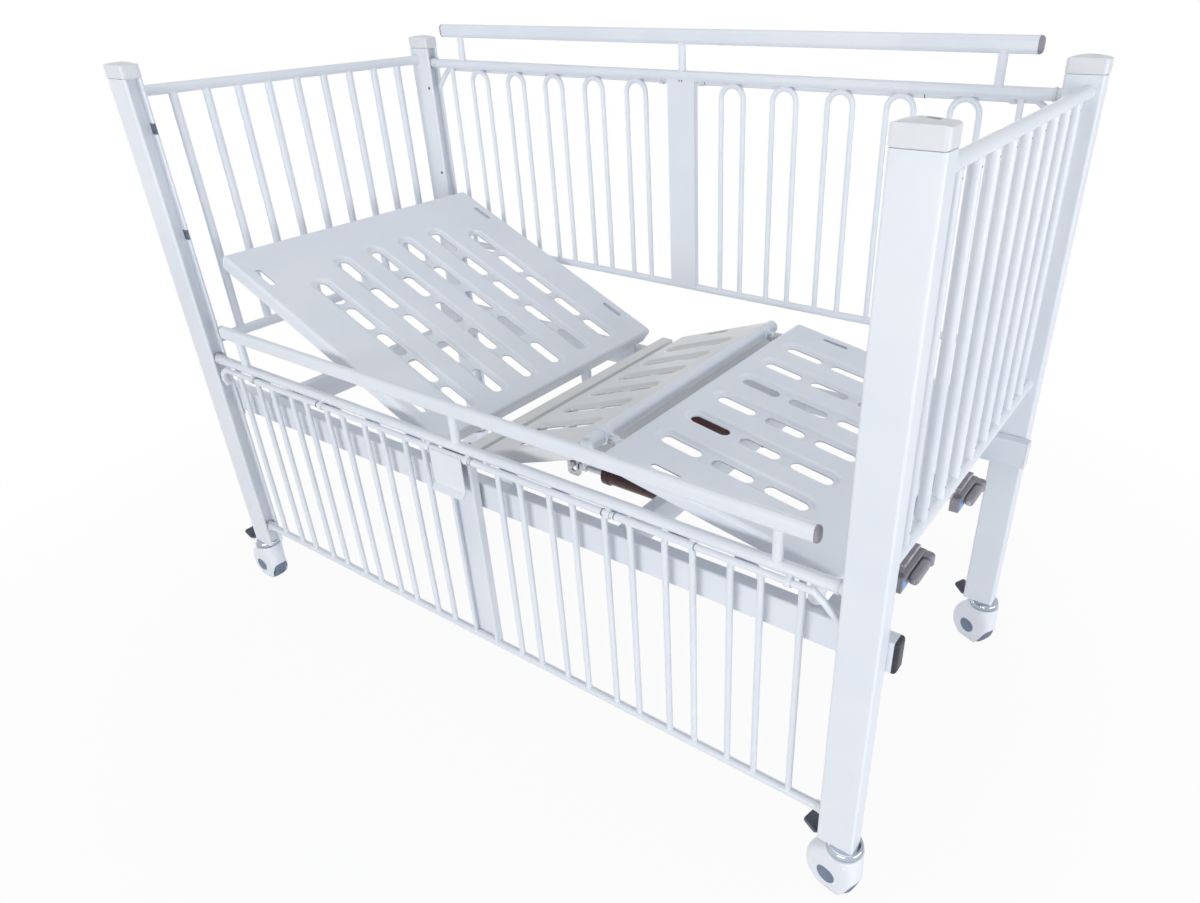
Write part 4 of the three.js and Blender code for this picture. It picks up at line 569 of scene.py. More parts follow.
leg_sheet = bmesh.new()
press_sheet(leg_sheet, 25, 490, 366, LEG_TOP, [(55, 379, y) for y in CHANNEL_PLACES], 3, (138,))
make_sheet("leg_rest", leg_sheet, powder_coat, "leg", ["leg_section"], leg_place)
leg_fittings, glide_feet = bmesh.new(), bmesh.new()
for side in (-1, 1):
    slab(leg_fittings, waisted(0, 0, 10, 39, 8.5, 11), Matrix.Translation((0, side * 302 + 3, 0)) @ ALONG_Y, 6, 1)
    slab(leg_fittings, waisted(456, 4, 16, 456, -41, 11), Matrix.Translation((0, side * 360.3 + 4.5, 0)) @ ALONG_Y, 9, 1)
    turned(glide_feet, [(0, -5), (11.5, -5), (12, -4), (12, 4), (11.5, 5), (0, 5)], (456, side * 360.3, -43.4), (0, 1, 0))
make_piece("leg_rest_fittings", leg_fittings, powder_coat, "leg", (), leg_place)
make_piece("glide_feet", glide_feet, cap_plastic, "leg", (), leg_place)

# Drop sides: a top and a bottom tube with hairpin bars welded between, a folded plate in the middle and an oval
# grab rail on short stays. Bushes run in the post channels; clips carry the latch bar outside the hairpins.
RAIL_HALF, RAIL_RADIUS, FOOT_RADIUS, RAIL_DEPTH = 806, 11, 8.5, 485
PIN_PLACES = [sign * (131.5 + 128.4 * k) for sign in (-1, 1) for k in range(5)]
PIN_RADIUS, PIN_HALF, PIN_DROP = 6, 28, 15
GRAB_LEVEL, GRAB_HALF, GRAB_TALL, GRAB_WIDE, STAY_RADIUS = 79, 760, 31, 20, 9
LATCH_Y, LATCH_Z, LATCH_RADIUS = -15, -13, 6
CLIP_PLACES = [share * RAIL_HALF for share in (-0.819, -0.504, -0.082, 0.05, 0.475, 0.903)]
HANDS = {"near": 1, "far": -1}
BUSH_WHITE, BUSH_SHADE = (0.76, 0.78, 0.80), (0.70, 0.72, 0.75)
PLUG_MAUVE, PLUG_MAUVE_DARK = (0.33, 0.30, 0.35), (0.26, 0.24, 0.28)
bush_plastic = mottled("guide_bush_white", BUSH_WHITE, BUSH_SHADE, (0.35, 0.5), 1300, 0.2, 20)
mauve_plastic = mottled("grab_plug_mauve", PLUG_MAUVE, PLUG_MAUVE_DARK, (0.36, 0.5), 1500, 0.3, 40)
side_places = {"near": Matrix.Translation((0, -400, 672)),
               "far": Matrix.Translation((0, 400, 1252)) @ Matrix.Rotation(math.pi, 4, "Z")}


def oval(half_tall, half_wide, centre_z, steps=16):
    """Outline of the grab rail in its end view: half-round above and below, flat at both faces."""
    points = []
    straight = half_tall - half_wide
    for pole, start in ((1, 0), (-1, math.pi)):
        for step in range(steps + 1):
            angle = start + math.pi * step / steps
            points.append((half_wide * math.cos(angle), centre_z + pole * straight + half_wide * math.sin(angle)))
    return points


for side, place in side_places.items():
    body = f"{side}_rail"
    rail, bushes, rivets = bmesh.new(), bmesh.new(), bmesh.new()
    draw_tube(rail, [(-RAIL_HALF, 0, 0), (RAIL_HALF, 0, 0)], RAIL_RADIUS, sides=32)
    draw_tube(rail, [(-RAIL_HALF, 0, -RAIL_DEPTH), (RAIL_HALF, 0, -RAIL_DEPTH)], FOOT_RADIUS, sides=28)
    for x in PIN_PLACES:
        arch = [(x - PIN_HALF, 0, -RAIL_DEPTH), (x - PIN_HALF, 0, -PIN_DROP),
                (x + PIN_HALF, 0, -PIN_DROP), (x + PIN_HALF, 0, -RAIL_DEPTH)]
        draw_tube(rail, arch, PIN_RADIUS, PIN_HALF, 20, 12)
        bead = bmesh.ops.create_uvsphere(rail, u_segments=16, v_segments=10, radius=1,
                                         matrix=Matrix.Translation((x, 0, -10.5)) @ Matrix.Diagonal((11, 4.6, 3.4, 1)))
        for leg in (x - PIN_HALF, x + PIN_HALF):
            weld_bead(rail, (leg, 0, -RAIL_DEPTH + FOOT_RADIUS - 0.6), (0, 0, 1), PIN_RADIUS, 1.3)
    for x in (-745, 745):
        draw_tube(rail, [(x, 0, -RAIL_DEPTH), (x, 0, 0)], PIN_RADIUS, sides=20)
        weld_bead(rail, (x, 0, -RAIL_DEPTH + FOOT_RADIUS - 0.6), (0, 0, 1), PIN_RADIUS, 1.3)
        weld_bead(rail, (x, 0, -RAIL_RADIUS + 0.6), (0, 0, -1), PIN_RADIUS, 1.3)
    folded = [(-36, -7), (-28, -7), (-28, -4), (-33, -4), (-33, 6), (33, 6), (33, -4), (28, -4), (28, -7), (36, -7),
              (36, 9), (-36, 9)]
    slab(rail, folded, Matrix.Translation((0, 0, -RAIL_DEPTH)), RAIL_DEPTH, 0)
    slab(rail, [(-36, 6), (36, 6), (36, 9), (-36, 9)], Matrix.Translation((0, 0, -2)), 11, 0.8)
    # The two rivet heads on the plate are drawn in the same dark grey.
    for x in (-3.5, 3.5):
        screw_head(rivets, (x, 9, -10), (0, 1, 0), 2, 1.2)
    lie = Matrix.Translation((-GRAB_HALF, 0, 0)) @ ALONG_X
    slab(rail, oval(GRAB_TALL / 2, GRAB_WIDE / 2, GRAB_LEVEL), lie, 2 * GRAB_HALF, 0.6)
    for x in (-700, 0, 700):
        draw_tube(rail, [(x, 0, 0), (x, 0, GRAB_LEVEL)], STAY_RADIUS)
        weld_bead(rail, (x, 0, RAIL_RADIUS - 1.6), (0, 0, 1), STAY_RADIUS, 1.4)
        weld_bead(rail, (x, 0, GRAB_LEVEL - GRAB_TALL / 2 + 1.2), (0, 0, -1), STAY_RADIUS, 1.4)
    for clip in CLIP_PLACES:
        x = HANDS[side] * clip
        slab(rail, waisted(0, -2, 7, LATCH_Y, LATCH_Z, 8.8), Matrix.Translation((x - 4, 0, 0)) @ ALONG_X, 8, 1.2)
        for rim in (-4.6, 4.6):
            collar = [(6.9, -1.4), (8.2, -1.4), (8.6, 0), (8.2, 1.4), (6.9, 1.4), (6.9, -1.4)]
            turned(rail, collar, (x + rim, LATCH_Y, LATCH_Z), (1, 0, 0))
    for way in (-1, 1):
        for z, neck in ((0, RAIL_RADIUS), (-RAIL_DEPTH, FOOT_RADIUS)):
            guide = [(0, -4), (neck + 1.6, -4), (neck + 1.6, 1), (10.4, 3), (11.6, 6), (11.7, 8),
                     (11.7, 20), (10.8, 22), (9.4, 22.6), (0, 22.6)]
            turned(bushes, guide, (way * (RAIL_HALF - 2), 0, z), (way, 0, 0), 36)
    make_piece(f"{side}_side_frame", rail, powder_coat, body, [f"{side}_rail"], place)
    make_piece(f"{side}_guide_bushes", bushes, bush_plastic, body, (), place)
    make_piece(f"{side}_plate_rivets", rivets, dark_rivets_and_gap_shade, body, (), place)
    for letter, way in (("a", -1), ("b", 1)):
        plug = bmesh.new()
        loops = []
        for inset, along in ((0, 0.3), (0, 2.2), (0.5, 4.2), (1.8, 6.2), (3.6, 7.5), (6, 8.2)):
            ring = oval(GRAB_TALL / 2 - inset, GRAB_WIDE / 2 - inset, GRAB_LEVEL)
            loops.append(loop_of(plug, [(way * (GRAB_HALF + along), y, z) for y, z in ring]))
        skin(plug, loops)
        for open_end in (loops[0], loops[-1]):
            bmesh.ops.edgeloop_fill(plug, edges=open_end)
        make_piece(f"{side}_grab_end_{letter}", plug, mauve_plastic, body,
                   [f"{side}_grab_plug_{letter}"], place)

# Latch bars: a steel rod that turns in the clips of a drop side, with a hooked arm at each end that drops into
# the post, sleeves between the clips, and a bent sheet flap in the middle to lift it by.
FLAPS = {"near": (-55, 86), "far": (-19, 70)}
for side, place in side_places.items():
    latch, rings = bmesh.new(), bmesh.new()
    hand = HANDS[side]
    hook = [(RAIL_HALF + 1, LATCH_Y + 13, -62), (RAIL_HALF - 4.5, LATCH_Y + 5.2, -45.7),
            (RAIL_HALF - 18, LATCH_Y, -26), (RAIL_HALF - 36, LATCH_Y, LATCH_Z)]
    bent = [(-x, y, z) for x, y, z in hook] + hook[::-1]
    draw_tube(latch, bent, LATCH_RADIUS, 9, 20, 5)
    # Dark rings at both ends of each sleeve are painted shade in the seams between the sleeve and the rod.
    for start, stop in ((-648, -418), (54, 371), (398, 560)):
        long = stop - start
        wall = [(5.8, 0), (6.5, 0), (6.8, 0.6), (6.8, long - 0.6), (6.5, long), (5.8, long)]
        turned(latch, wall + wall[:1], (hand * start, LATCH_Y, LATCH_Z), (hand, 0, 0), 22)
        for rim in (start, stop):
            band = [(5.9, -1), (7, -1), (7.2, 0), (7, 1), (5.9, 1), (5.9, -1)]
            turned(rings, band, (hand * rim, LATCH_Y, LATCH_Z), (1, 0, 0), 22)
    make_piece(f"{side}_latch_seam_shade", rings, dark_rivets_and_gap_shade, f"{side}_latch", (), place)
    left, wide = FLAPS[side]
    face, top, knee = LATCH_Y - 6.5, LATCH_Z + 2, LATCH_Z - 73
    flap = [(face, top), (face, knee - 1), (face - 11, knee - 13.4), (face - 13.5, knee - 11),
            (face - 2.5, knee), (face - 2.5, top)]
    slab(latch, flap, Matrix.Translation((left, 0, 0)) @ ALONG_X, wide, 0.7)
    weld = [(face - 1, LATCH_Z - 3), (LATCH_Y, LATCH_Z - 3), (LATCH_Y, LATCH_Z + 3), (face - 1, LATCH_Z + 3)]
    slab(latch, weld, Matrix.Translation((left + 2, 0, 0)) @ ALONG_X, wide - 4, 0.6)
    make_piece(f"{side}_latch_bar", latch, powder_coat, f"{side}_latch", [f"{side}_latch"], place)

# Crank drives: a maroon sleeve holds the screw; a zinc push tube slides out of it to a slotted yoke round the
# lever pin. The shaft runs to the foot end, where a moulded crank arm carries a grip that folds away.
SLEEVE_HEAD, SLEEVE_FOOT, SLEEVE_RADIUS = 164.7, 346.7, 22
CRANK_FACE, CRANK_THICK, CRANK_REACH = 811, 20, 69
GRIP_X = 841
MAROON, MAROON_DARK = (0.085, 0.026, 0.028), (0.055, 0.018, 0.020)
TAUPE, TAUPE_DARK = (0.33, 0.305, 0.335), (0.27, 0.25, 0.275)
LID_HIGHLIGHT_GREY, TAUPE_SUNK = (0.70, 0.69, 0.72), (0.15, 0.15, 0.175)
SPOT_BLUE, SPOT_DEEP = (0.10, 0.33, 0.72), (0.07, 0.26, 0.62)
maroon_paint = mottled("sleeve_maroon", MAROON, MAROON_DARK, (0.26, 0.42), 700, 0.3, 14)
taupe_plastic = mottled("crank_taupe", TAUPE, TAUPE_DARK, (0.38, 0.55), 1700, 0.45, 26)
# A pale grey: a painted highlight along the lid's upper edge, and also the own colour of the grip's end stud.
lid_highlight_and_stud_grey = mottled("crank_lid_highlight_and_stud_grey", LID_HIGHLIGHT_GREY, TAUPE, (0.35, 0.5), 1700, 0.3, 26)
taupe_sunk = mottled("crank_cover_dark", TAUPE_SUNK, TAUPE_SUNK, (0.4, 0.55), 1700, 0.3, 26)
blue_inlay = mottled("inlay_blue", SPOT_BLUE, SPOT_DEEP, (0.25, 0.35), 1500, 0.15, 60)
drives = {"back": (1, BACK_HINGE_X, math.radians(32.5 - 24)), "knee": (-1, THIGH_HINGE_X, math.radians(19.7 - 14))}
for section, (way, hinge_x, lean) in drives.items():
    y = way * DRIVE_Y
    sleeve = bmesh.new()
    long = SLEEVE_FOOT - SLEEVE_HEAD
    casing = [(11.6, 0), (24, 0), (25, 1), (25, 15), (24, 16), (22, 17), (SLEEVE_RADIUS, long - 17),
              (24, long - 16), (25, long - 15), (25, long - 1), (24, long), (11.6, long), (11.6, 0)]
    turned(sleeve, casing, (SLEEVE_HEAD, y, DRIVE_Z), (1, 0, 0), 40)
    make_piece(f"{section}_sleeve", sleeve, maroon_paint, "frame", [f"{section}_screw_sleeve"])

    push = bmesh.new()
    pin_x = hinge_x + LEVER_DROP * math.sin(lean)
    yoke_y, yoke_z = y + way * 6, DRIVE_Z + 4
    plate = loop_of(push, [(pin_x + u, yoke_y, yoke_z + v) for u, v in rounded_outline(16.8, 30, 8, 6)])
    slot = loop_of(push, [(pin_x + u, yoke_y, yoke_z + v) for u, v in rounded_outline(7.8, 22, 7.7, 6)])
    bmesh.ops.bridge_loops(push, edges=plate + slot)
    walls = made_verts(bmesh.ops.extrude_face_region(push, geom=push.faces[:]))
    bmesh.ops.translate(push, vec=(0, way * 7, 0), verts=walls)
    start = pin_x + 21.8
    tongue = [(pin_x + 12.3, DRIVE_Z - 8), (start + 14, DRIVE_Z - 8), (start + 14, DRIVE_Z + 8), (pin_x + 12.3, DRIVE_Z + 8)]
    slab(push, tongue, Matrix.Translation((0, max(yoke_y, yoke_y + way * 7), 0)) @ ALONG_Y, 7, 0.8)
    draw_tube(push, [(start, y, DRIVE_Z), (SLEEVE_HEAD + 100, y, DRIVE_Z)], 11, sides=32)
    make_piece(f"{section}_push", push, zinc_plate, f"{section}_push", [f"{section}_push_tube"])

    shaft = bmesh.new()
    draw_tube(shaft, [(SLEEVE_FOOT - 12, y, DRIVE_Z), (CRANK_FACE - 0.3, y, DRIVE_Z)], 8, sides=28)
    make_piece(f"{section}_shaft", shaft, zinc_plate, f"{section}_crank", [f"{section}_crank_shaft"])

    arm, inlay = bmesh.new(), bmesh.new()
    outer = CRANK_FACE + CRANK_THICK
    seat = Matrix.Translation((CRANK_FACE, y, DRIVE_Z)) @ ALONG_X
    body = [(-36, -14), (CRANK_REACH + 8, -14), (CRANK_REACH + 15, -8), (CRANK_REACH + 15, 8), (CRANK_REACH + 10, 12), (-36, 12)]
    slab(arm, body, seat, CRANK_THICK, 2, 3)
    lid = [(-8, 10), (CRANK_REACH + 9, 10), (CRANK_REACH + 7, 20), (0, 20), (-3, 19)]
    slab(arm, lid, seat, 10, 1.4, 3)
    knuckle = waisted(CRANK_FACE + 12, y + CRANK_REACH, 10, GRIP_X, y + CRANK_REACH, 10.2)
    slab(arm, knuckle, Matrix.Translation((0, 0, DRIVE_Z - 11)), 22, 2.4, 3)
    make_piece(f"{section}_arm", arm, taupe_plastic, f"{section}_crank", [f"{section}_crank_arm"])
    # A thin pale bead along the lid's upper edge is a painted highlight where the edge catches the light.
    rim = bmesh.new()
    lid_edge_highlight = [(CRANK_FACE + 1, y - 7.5, DRIVE_Z + 12), (CRANK_FACE + 1, y - 1.5, DRIVE_Z + 19.4),
               (CRANK_FACE + 9.4, y - 1.5, DRIVE_Z + 19.4), (CRANK_FACE + 9.4, y + CRANK_REACH + 6, DRIVE_Z + 19.4)]
    draw_tube(rim, lid_edge_highlight, 1.5, 2, 12, 4)
    make_piece(f"{section}_lid_edge_highlight", rim, lid_highlight_and_stud_grey, f"{section}_crank")
    turned(inlay, [(0, -1), (7.6, -1), (7.6, 0.8), (7, 1.5), (5.4, 1.5), (5, 0.9), (0, 0.9)],
           (CRANK_FACE + 10, y - 20, DRIVE_Z + 12), (0, 0, 1), 32)
    make_piece(f"{section}_shaft_cover", inlay, taupe_sunk, f"{section}_crank")
    mark = bmesh.new()
    badge = [(y - 25 + u, DRIVE_Z - 1 + v) for u, v in rounded_outline(9.5, 10, 5)]
    slab(mark, badge, Matrix.Translation((outer - 1, 0, 0)) @ ALONG_X, 1.6, 0.5)
    make_piece(f"{section}_arm_inlay", mark, blue_inlay, f"{section}_crank")

    grip = bmesh.new()
    loops = []
    for along, shrink in ((10.6, 5), (11.4, 3.2), (13.4, 1.2), (17, 0.2), (24, 0), (70, 0), (76, 0.8), (79, 2.6), (80, 5)):
        ring = rounded_outline(8.8 - shrink, 8.8 - shrink, 6 - shrink / 2, 6)
        loops.append(loop_of(grip, [(GRIP_X + u, y + CRANK_REACH - along, DRIVE_Z + v) for u, v in ring]))
    skin(grip, loops)
    for open_end in (loops[0], loops[-1]):
        bmesh.ops.edgeloop_fill(grip, edges=open_end)
    make_piece(f"{section}_grip", grip, taupe_plastic, f"{section}_grip", [f"{section}_crank_grip"])
    # The grip's end stud is pale grey plastic, in the same colour.
    stud = bmesh.new()
    turned(stud, [(0, -3), (4.6, -3), (4.6, 0.2), (4, 1), (2.4, 1.5), (0, 1.6)],
           (GRIP_X, y + CRANK_REACH - 80, DRIVE_Z), (0, -1, 0), 24)
    make_piece(f"{section}_grip_stud", stud, lid_highlight_and_stud_grey, f"{section}_grip")

# Castors: a bright ring under each post, a white moulded hood that swivels with the wheel inside it, a slate
# wheel whose hub shows as a disc on both sides, and a black brake pedal tilted up at the trailing side.
RING_LOW, RING_RADIUS = 117, 32
CASTOR_OUT, PEDAL_TILT = 14, 26
WHEEL_RADIUS, TRAIL, HOOD_TOP, HEM = 50, 18, 116.5, 9
WINDOW_TOP, WINDOW_SPREAD = 59, 0.94
CHROME, CHROME_DARK = (0.50, 0.55, 0.63), (0.36, 0.40, 0.47)
HOOD_WHITE, HOOD_SHADE = (0.82, 0.85, 0.91), (0.80, 0.83, 0.89)
PEDAL_SLATE, PEDAL_DARK = (0.075, 0.085, 0.115), (0.05, 0.058, 0.078)
SLATE, SLATE_DARK = (0.18, 0.22, 0.31), (0.15, 0.185, 0.26)
HEADINGS = {"head_near": 0, "head_far": 0, "foot_near": -12, "foot_far": -25}
chrome = mottled("ring_chrome", CHROME, CHROME_DARK, (0.05, 0.12), 500, 0.08, 20, 1.0)
hood_plastic = mottled("hood_white", HOOD_WHITE, HOOD_SHADE, (0.24, 0.28), 400, 0.04, 5)
pedal_plastic = mottled("pedal_slate_black", PEDAL_SLATE, PEDAL_DARK, (0.3, 0.45), 1500, 0.3, 30)
slate_rubber = mottled("wheel_slate", SLATE, SLATE_DARK, (0.48, 0.66), 1100, 0.5, 30)


def hood_span(level):
    """How far the hood reaches ahead and behind at a height: the wheel's circle, drawn up to the ring."""
    radius, ring = WHEEL_RADIUS + 5, RING_RADIUS + 2
    limits = []
    for way in (-1, 1):
        du, dz = way * ring - TRAIL, HOOD_TOP - WHEEL_RADIUS
        touch = math.atan2(dz, du) - way * math.acos(radius / math.hypot(du, dz))
        touch_u, touch_z = TRAIL + radius * math.cos(touch), WHEEL_RADIUS + radius * math.sin(touch)
        if level > touch_z:
            share = (level - touch_z) / (HOOD_TOP - touch_z)
            limits.append(touch_u + share * (way * ring - touch_u))
        else:
            limits.append(TRAIL + way * math.sqrt(max(radius ** 2 - (level - WHEEL_RADIUS) ** 2, 0)))
    return limits


def hood_half_width(level):
    for (z0, w0), (z1, w1) in zip(((0, 20), (25, 25.6), (50, 26)), ((25, 25.6), (50, 26), (HOOD_TOP, 34.5))):
        if level <= z1:
            share = (level - z0) / (z1 - z0)
            return w0 + (w1 - w0) * (share if z1 < HOOD_TOP else share ** 1.5)
    return 34.5


def hood_loop(level_of, columns=72):
    """One round of the hood's skin; level_of gives the height at each column."""
    points = []
    for column in range(columns):
        around = 2 * math.pi * column / columns
        level = level_of(around)
        back, ahead = hood_span(level)
        share = max(0.0, min(1.0, (level - 40) / (HOOD_TOP - 40)))
        power = 2 / (3.4 - 1.4 * share)
        u = math.copysign(abs(math.cos(around)) ** power, math.cos(around))
        v = math.copysign(abs(math.sin(around)) ** power, math.sin(around))
        points.append((-((back + ahead) / 2 + u * (ahead - back) / 2), v * hood_half_width(level), level))
    return points


def hood_hem(around):
    """The lower edge: arched up over the wheel at the leading side."""
    off = abs((around - math.pi) / WINDOW_SPREAD)
    return HEM + (WINDOW_TOP - HEM) * math.sqrt(1 - off ** 3) if off < 1 else HEM


for corner, (post_x, post_y) in CORNERS.items():
    under = Matrix.Translation((post_x + math.copysign(CASTOR_OUT, post_x), post_y, 0))
    trailing = under @ Matrix.Rotation(math.radians(HEADINGS[corner]), 4, "Z")
    ring = bmesh.new()
    lip = [(0, 0), (27, 0), (30, 0.8), (31.6, 2.6), (32, 5), (32, 9.5), (31.4, 12), (29.6, 14), (27, 14.8), (0, 15)]
    turned(ring, lip, (0, 0, RING_LOW), (0, 0, 1), 56)
    make_piece(f"ring_{corner}", ring, chrome, "frame", [f"castor_stem_{corner}"], under)

    hood = bmesh.new()
    loops = [loop_of(hood, hood_loop(lambda a, s=share: hood_hem(a) + s * (HOOD_TOP - 2 - hood_hem(a))))
             for share in [step / 16 for step in range(17)]]
    for inset, rise in ((0.6, -0.9), (1.8, -0.2), (4.5, 0), (9, 0)):
        top = [(x * (1 - inset / 34), y * (1 - inset / 34.5), HOOD_TOP + rise) for x, y, z in hood_loop(lambda a: HOOD_TOP)]
        loops.append(loop_of(hood, top))
    skin(hood, loops)
    bmesh.ops.edgeloop_fill(hood, edges=loops[-1])
    make_piece(f"hood_{corner}", hood, hood_plastic, f"swivel_{corner}", [f"castor_hood_{corner}"],
               trailing, sheet=2.6)
    lug = bmesh.new()
    lug_side = waisted(-34, 111, 5, -48, 114, 4.4)
    slab(lug, lug_side, Matrix.Translation((0, 5, 0)) @ ALONG_Y, 10, 1)
    make_piece(f"pedal_lug_{corner}", lug, hood_plastic, f"swivel_{corner}", (), trailing)
    spring = bmesh.new()
    draw_tube(spring, [(-47, -11, 114.5), (-47, 11, 114.5)], 3, sides=18)
    for y in (-13, 13):
        turned(spring, [(0, -1), (4.6, -1), (4.6, 0.8), (3.8, 1.4), (0, 1.6)], (-47, math.copysign(11, y), 114.5),
               (0, math.copysign(1, y), 0), 20)
    make_piece(f"pedal_pin_{corner}", spring, zinc_plate, f"swivel_{corner}", (), trailing)

    wheel = bmesh.new()
    tread = [(0, -17), (40, -17), (45, -16.4), (48, -14.5), (49.6, -11), (50, -7), (50, -5.4), (49, -5), (49, -4), (50, -3.6),
             (50, 3.6), (49, 4), (49, 5), (50, 5.4), (50, 7), (49.6, 11), (48, 14.5), (45, 16.4), (40, 17), (0, 17)]
    turned(wheel, tread, (-TRAIL, 0, WHEEL_RADIUS), (0, 1, 0), 64)
    for way in (-1, 1):
        disc = [(0, 16), (19, 16), (19, 26.3), (18.2, 27), (15, 27.4), (0, 27.6)]
        turned(wheel, disc, (-TRAIL, 0, WHEEL_RADIUS), (0, way, 0), 48)
    make_piece(f"wheel_{corner}", wheel, slate_rubber, f"wheel_{corner}", [f"castor_wheel_{corner}"], trailing)

    pedal = bmesh.new()
    tread = rounded_outline(16.5, 16, 6, 6, (23.5, 0))
    tilt = Matrix.Translation((-47, 0, 114.5)) @ Matrix.Rotation(math.radians(PEDAL_TILT), 4, "Y") @ Matrix.Diagonal((-1, 1, 1, 1))
    slab(pedal, tread, Matrix.Translation((0, 0, -4)), 8, 2.4, 3)
    for step in (16, 22, 28, 34):
        bar = rounded_outline(1.3, 11, 1.2, 4, (step, 0))
        slab(pedal, bar, Matrix.Translation((0, 0, 3.4)), 1.6, 0.5)
    for way in (-1, 1):
        slab(pedal, waisted(0, 0, 4, 14, 0, 4), Matrix.Translation((0, way * 8 + 2.4, 0)) @ ALONG_Y, 4.8, 0.8)
    make_piece(f"pedal_{corner}", pedal, pedal_plastic, f"pedal_{corner}", [f"castor_pedal_{corner}"],
               trailing @ tilt)

# The stage: a wide pale floor under an even white surround, soft lamps high on the near side, and the camera
# where the cot is seen from its foot end, a little above the posts.
FLOOR_HALF = 30.0
CAMERA_PLACE = (1.1747, -1.3509, 1.4587)
CAMERA_TURN = (59.4995, 1.1513, 34.3864)
CAMERA_LENS, SENSOR = 25.588, 36.0
CAMERA_SHIFT = (-0.05995, 0.01689)
FLOOR_GREY = (0.62, 0.63, 0.65)
FLOOR_GLOW, AMBIENT, SURROUND = 1.0, 0.40, 1.0


def seen_rays(tree):
    """The rays that see the plain white surround: straight from the camera, mirrored, or through glass."""
    rays = tree.nodes.new("ShaderNodeLightPath")
    seen = rays.outputs["Is Camera Ray"]
    for kind in ("Is Glossy Ray", "Is Transmission Ray"):
        either = tree.nodes.new("ShaderNodeMath")
        either.operation = "MAXIMUM"
        tree.links.new(seen, either.inputs[0])
        tree.links.new(rays.outputs[kind], either.inputs[1])
        seen = either.outputs["Value"]
    return seen


floor_bm = bmesh.new()
bmesh.ops.create_grid(floor_bm, x_segments=2, y_segments=2, size=FLOOR_HALF)
floor_mesh = bpy.data.meshes.new("floor")
floor_bm.to_mesh(floor_mesh)
floor_bm.free()
floor = bpy.data.objects.new("floor", floor_mesh)
SCENE.collection.objects.link(floor)
floor_paint = bpy.data.materials.new("floor_pale")
floor_paint.use_nodes = True
floor_tree = floor_paint.node_tree
floor_tree.nodes.clear()
floor_out = floor_tree.nodes.new("ShaderNodeOutputMaterial")
floor_matte = floor_tree.nodes.new("ShaderNodeBsdfDiffuse")
floor_matte.inputs["Color"].default_value = (*FLOOR_GREY, 1)
floor_glow = floor_tree.nodes.new("ShaderNodeEmission")
floor_glow.inputs["Strength"].default_value = FLOOR_GLOW
floor_place = floor_tree.nodes.new("ShaderNodeTexCoord")
floor_reach = floor_tree.nodes.new("ShaderNodeVectorMath")
floor_reach.operation = "LENGTH"
floor_fade = floor_tree.nodes.new("ShaderNodeMapRange")
for socket, value in zip(("From Min", "From Max", "To Min", "To Max"), (1.0, 2.2, 0.94, 1.0)):
    floor_fade.inputs[socket].default_value = value
floor_seen = floor_tree.nodes.new("ShaderNodeMath")
floor_seen.operation = "MULTIPLY"
floor_mix = floor_tree.nodes.new("ShaderNodeMixShader")
floor_tree.links.new(floor_place.outputs["Object"], floor_reach.inputs[0])
floor_tree.links.new(floor_reach.outputs["Value"], floor_fade.inputs["Value"])
floor_tree.links.new(seen_rays(floor_tree), floor_seen.inputs[0])
floor_tree.links.new(floor_fade.outputs["Result"], floor_seen.inputs[1])
floor_tree.links.new(floor_seen.outputs["Value"], floor_mix.inputs["Fac"])
floor_tree.links.new(floor_matte.outputs["BSDF"], floor_mix.inputs[1])
floor_tree.links.new(floor_glow.outputs["Emission"], floor_mix.inputs[2])
floor_tree.links.new(floor_mix.outputs["Shader"], floor_out.inputs["Surface"])
floor_mesh.materials.append(floor_paint)

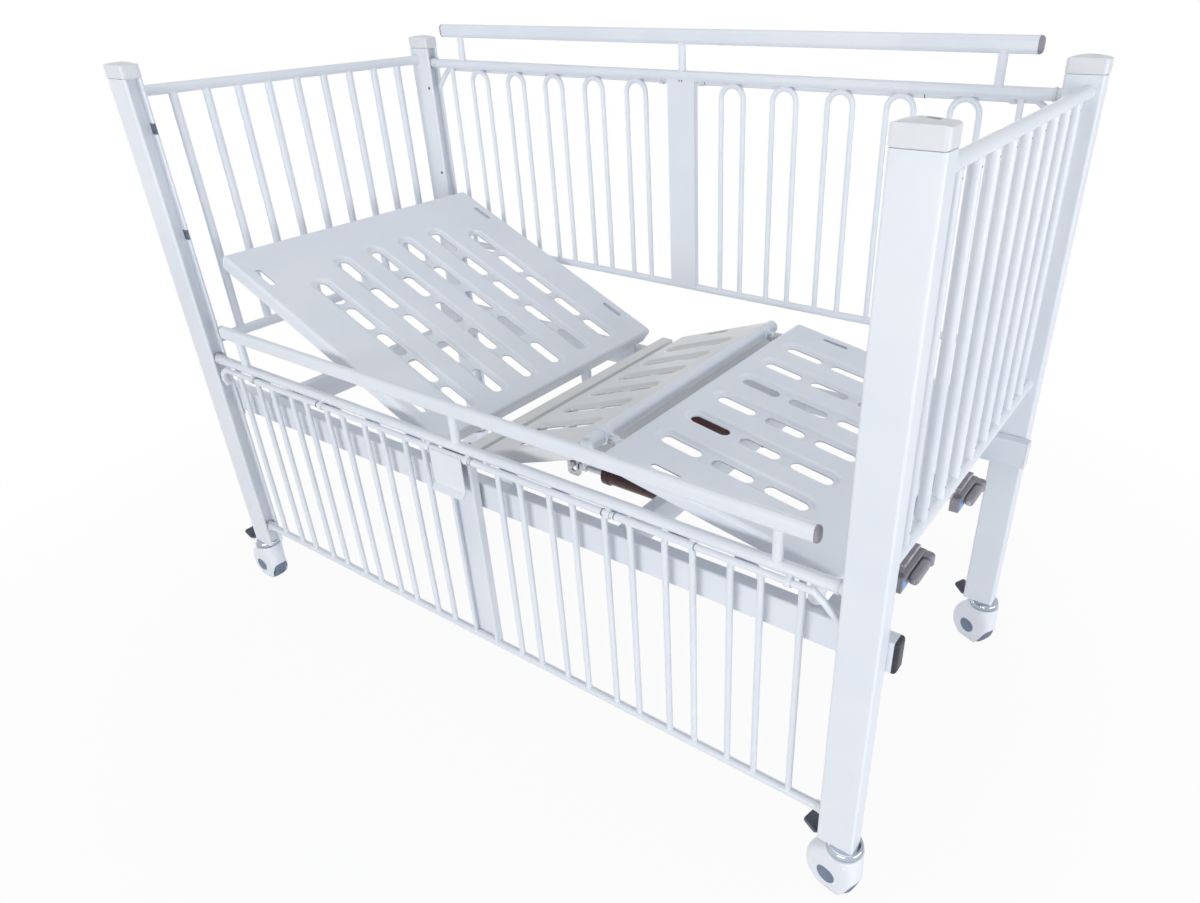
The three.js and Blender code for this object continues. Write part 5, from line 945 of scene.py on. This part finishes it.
surround = bpy.data.worlds.new("surround")
surround.use_nodes = True
SCENE.world = surround
sky = surround.node_tree
sky.nodes.clear()
sky_out = sky.nodes.new("ShaderNodeOutputWorld")
sky_mix = sky.nodes.new("ShaderNodeMixShader")
sky_light, sky_seen = sky.nodes.new("ShaderNodeBackground"), sky.nodes.new("ShaderNodeBackground")
sky_light.inputs["Color"].default_value = (0.93, 0.96, 1.0, 1)
sky_light.inputs["Strength"].default_value = AMBIENT
sky_seen.inputs["Color"].default_value = (1, 1, 1, 1)
sky_seen.inputs["Strength"].default_value = SURROUND
sky.links.new(seen_rays(sky), sky_mix.inputs["Fac"])
sky.links.new(sky_light.outputs["Background"], sky_mix.inputs[1])
sky.links.new(sky_seen.outputs["Background"], sky_mix.inputs[2])
sky.links.new(sky_mix.outputs["Shader"], sky_out.inputs["Surface"])

lamps = {"key": ((1.0, -5.0, 0.80), 3.4, 1.4, 115, (1.0, 0.99, 0.98)),
         "top": ((-0.2, -0.3, 4.4), 3.6, 3.6, 45, (0.96, 0.98, 1.0)),
         "rim": ((4.2, -0.1, 0.75), 3.0, 1.4, 66, (0.95, 0.97, 1.0)),
         "back": ((-0.8, 5.0, 0.80), 3.4, 1.4, 62, (1.0, 0.99, 0.98)),
         "head": ((-4.4, 0.1, 0.75), 3.0, 1.4, 48, (0.95, 0.97, 1.0))}
for lamp_name, (spot, wide, tall, power, tint) in lamps.items():
    lamp = bpy.data.lights.new(lamp_name, "AREA")
    lamp.shape, lamp.size, lamp.size_y = "RECTANGLE", wide, tall
    lamp.energy, lamp.color = power, tint
    lamp_object = bpy.data.objects.new(lamp_name, lamp)
    lamp_object.location = spot
    lamp_object.rotation_euler = (Vector(spot) - Vector((0, 0, 0.7))).to_track_quat("Z", "Y").to_euler()
    SCENE.collection.objects.link(lamp_object)

view = bpy.data.cameras.new("camera")
view.sensor_width, view.lens = SENSOR, CAMERA_LENS
view.shift_x, view.shift_y = CAMERA_SHIFT
view.clip_start, view.clip_end = 0.05, 200
camera = bpy.data.objects.new("camera", view)
camera.location = CAMERA_PLACE
camera.rotation_euler = [math.radians(angle) for angle in CAMERA_TURN]
SCENE.collection.objects.link(camera)
SCENE.camera = camera
SCENE.view_settings.view_transform = "Standard"
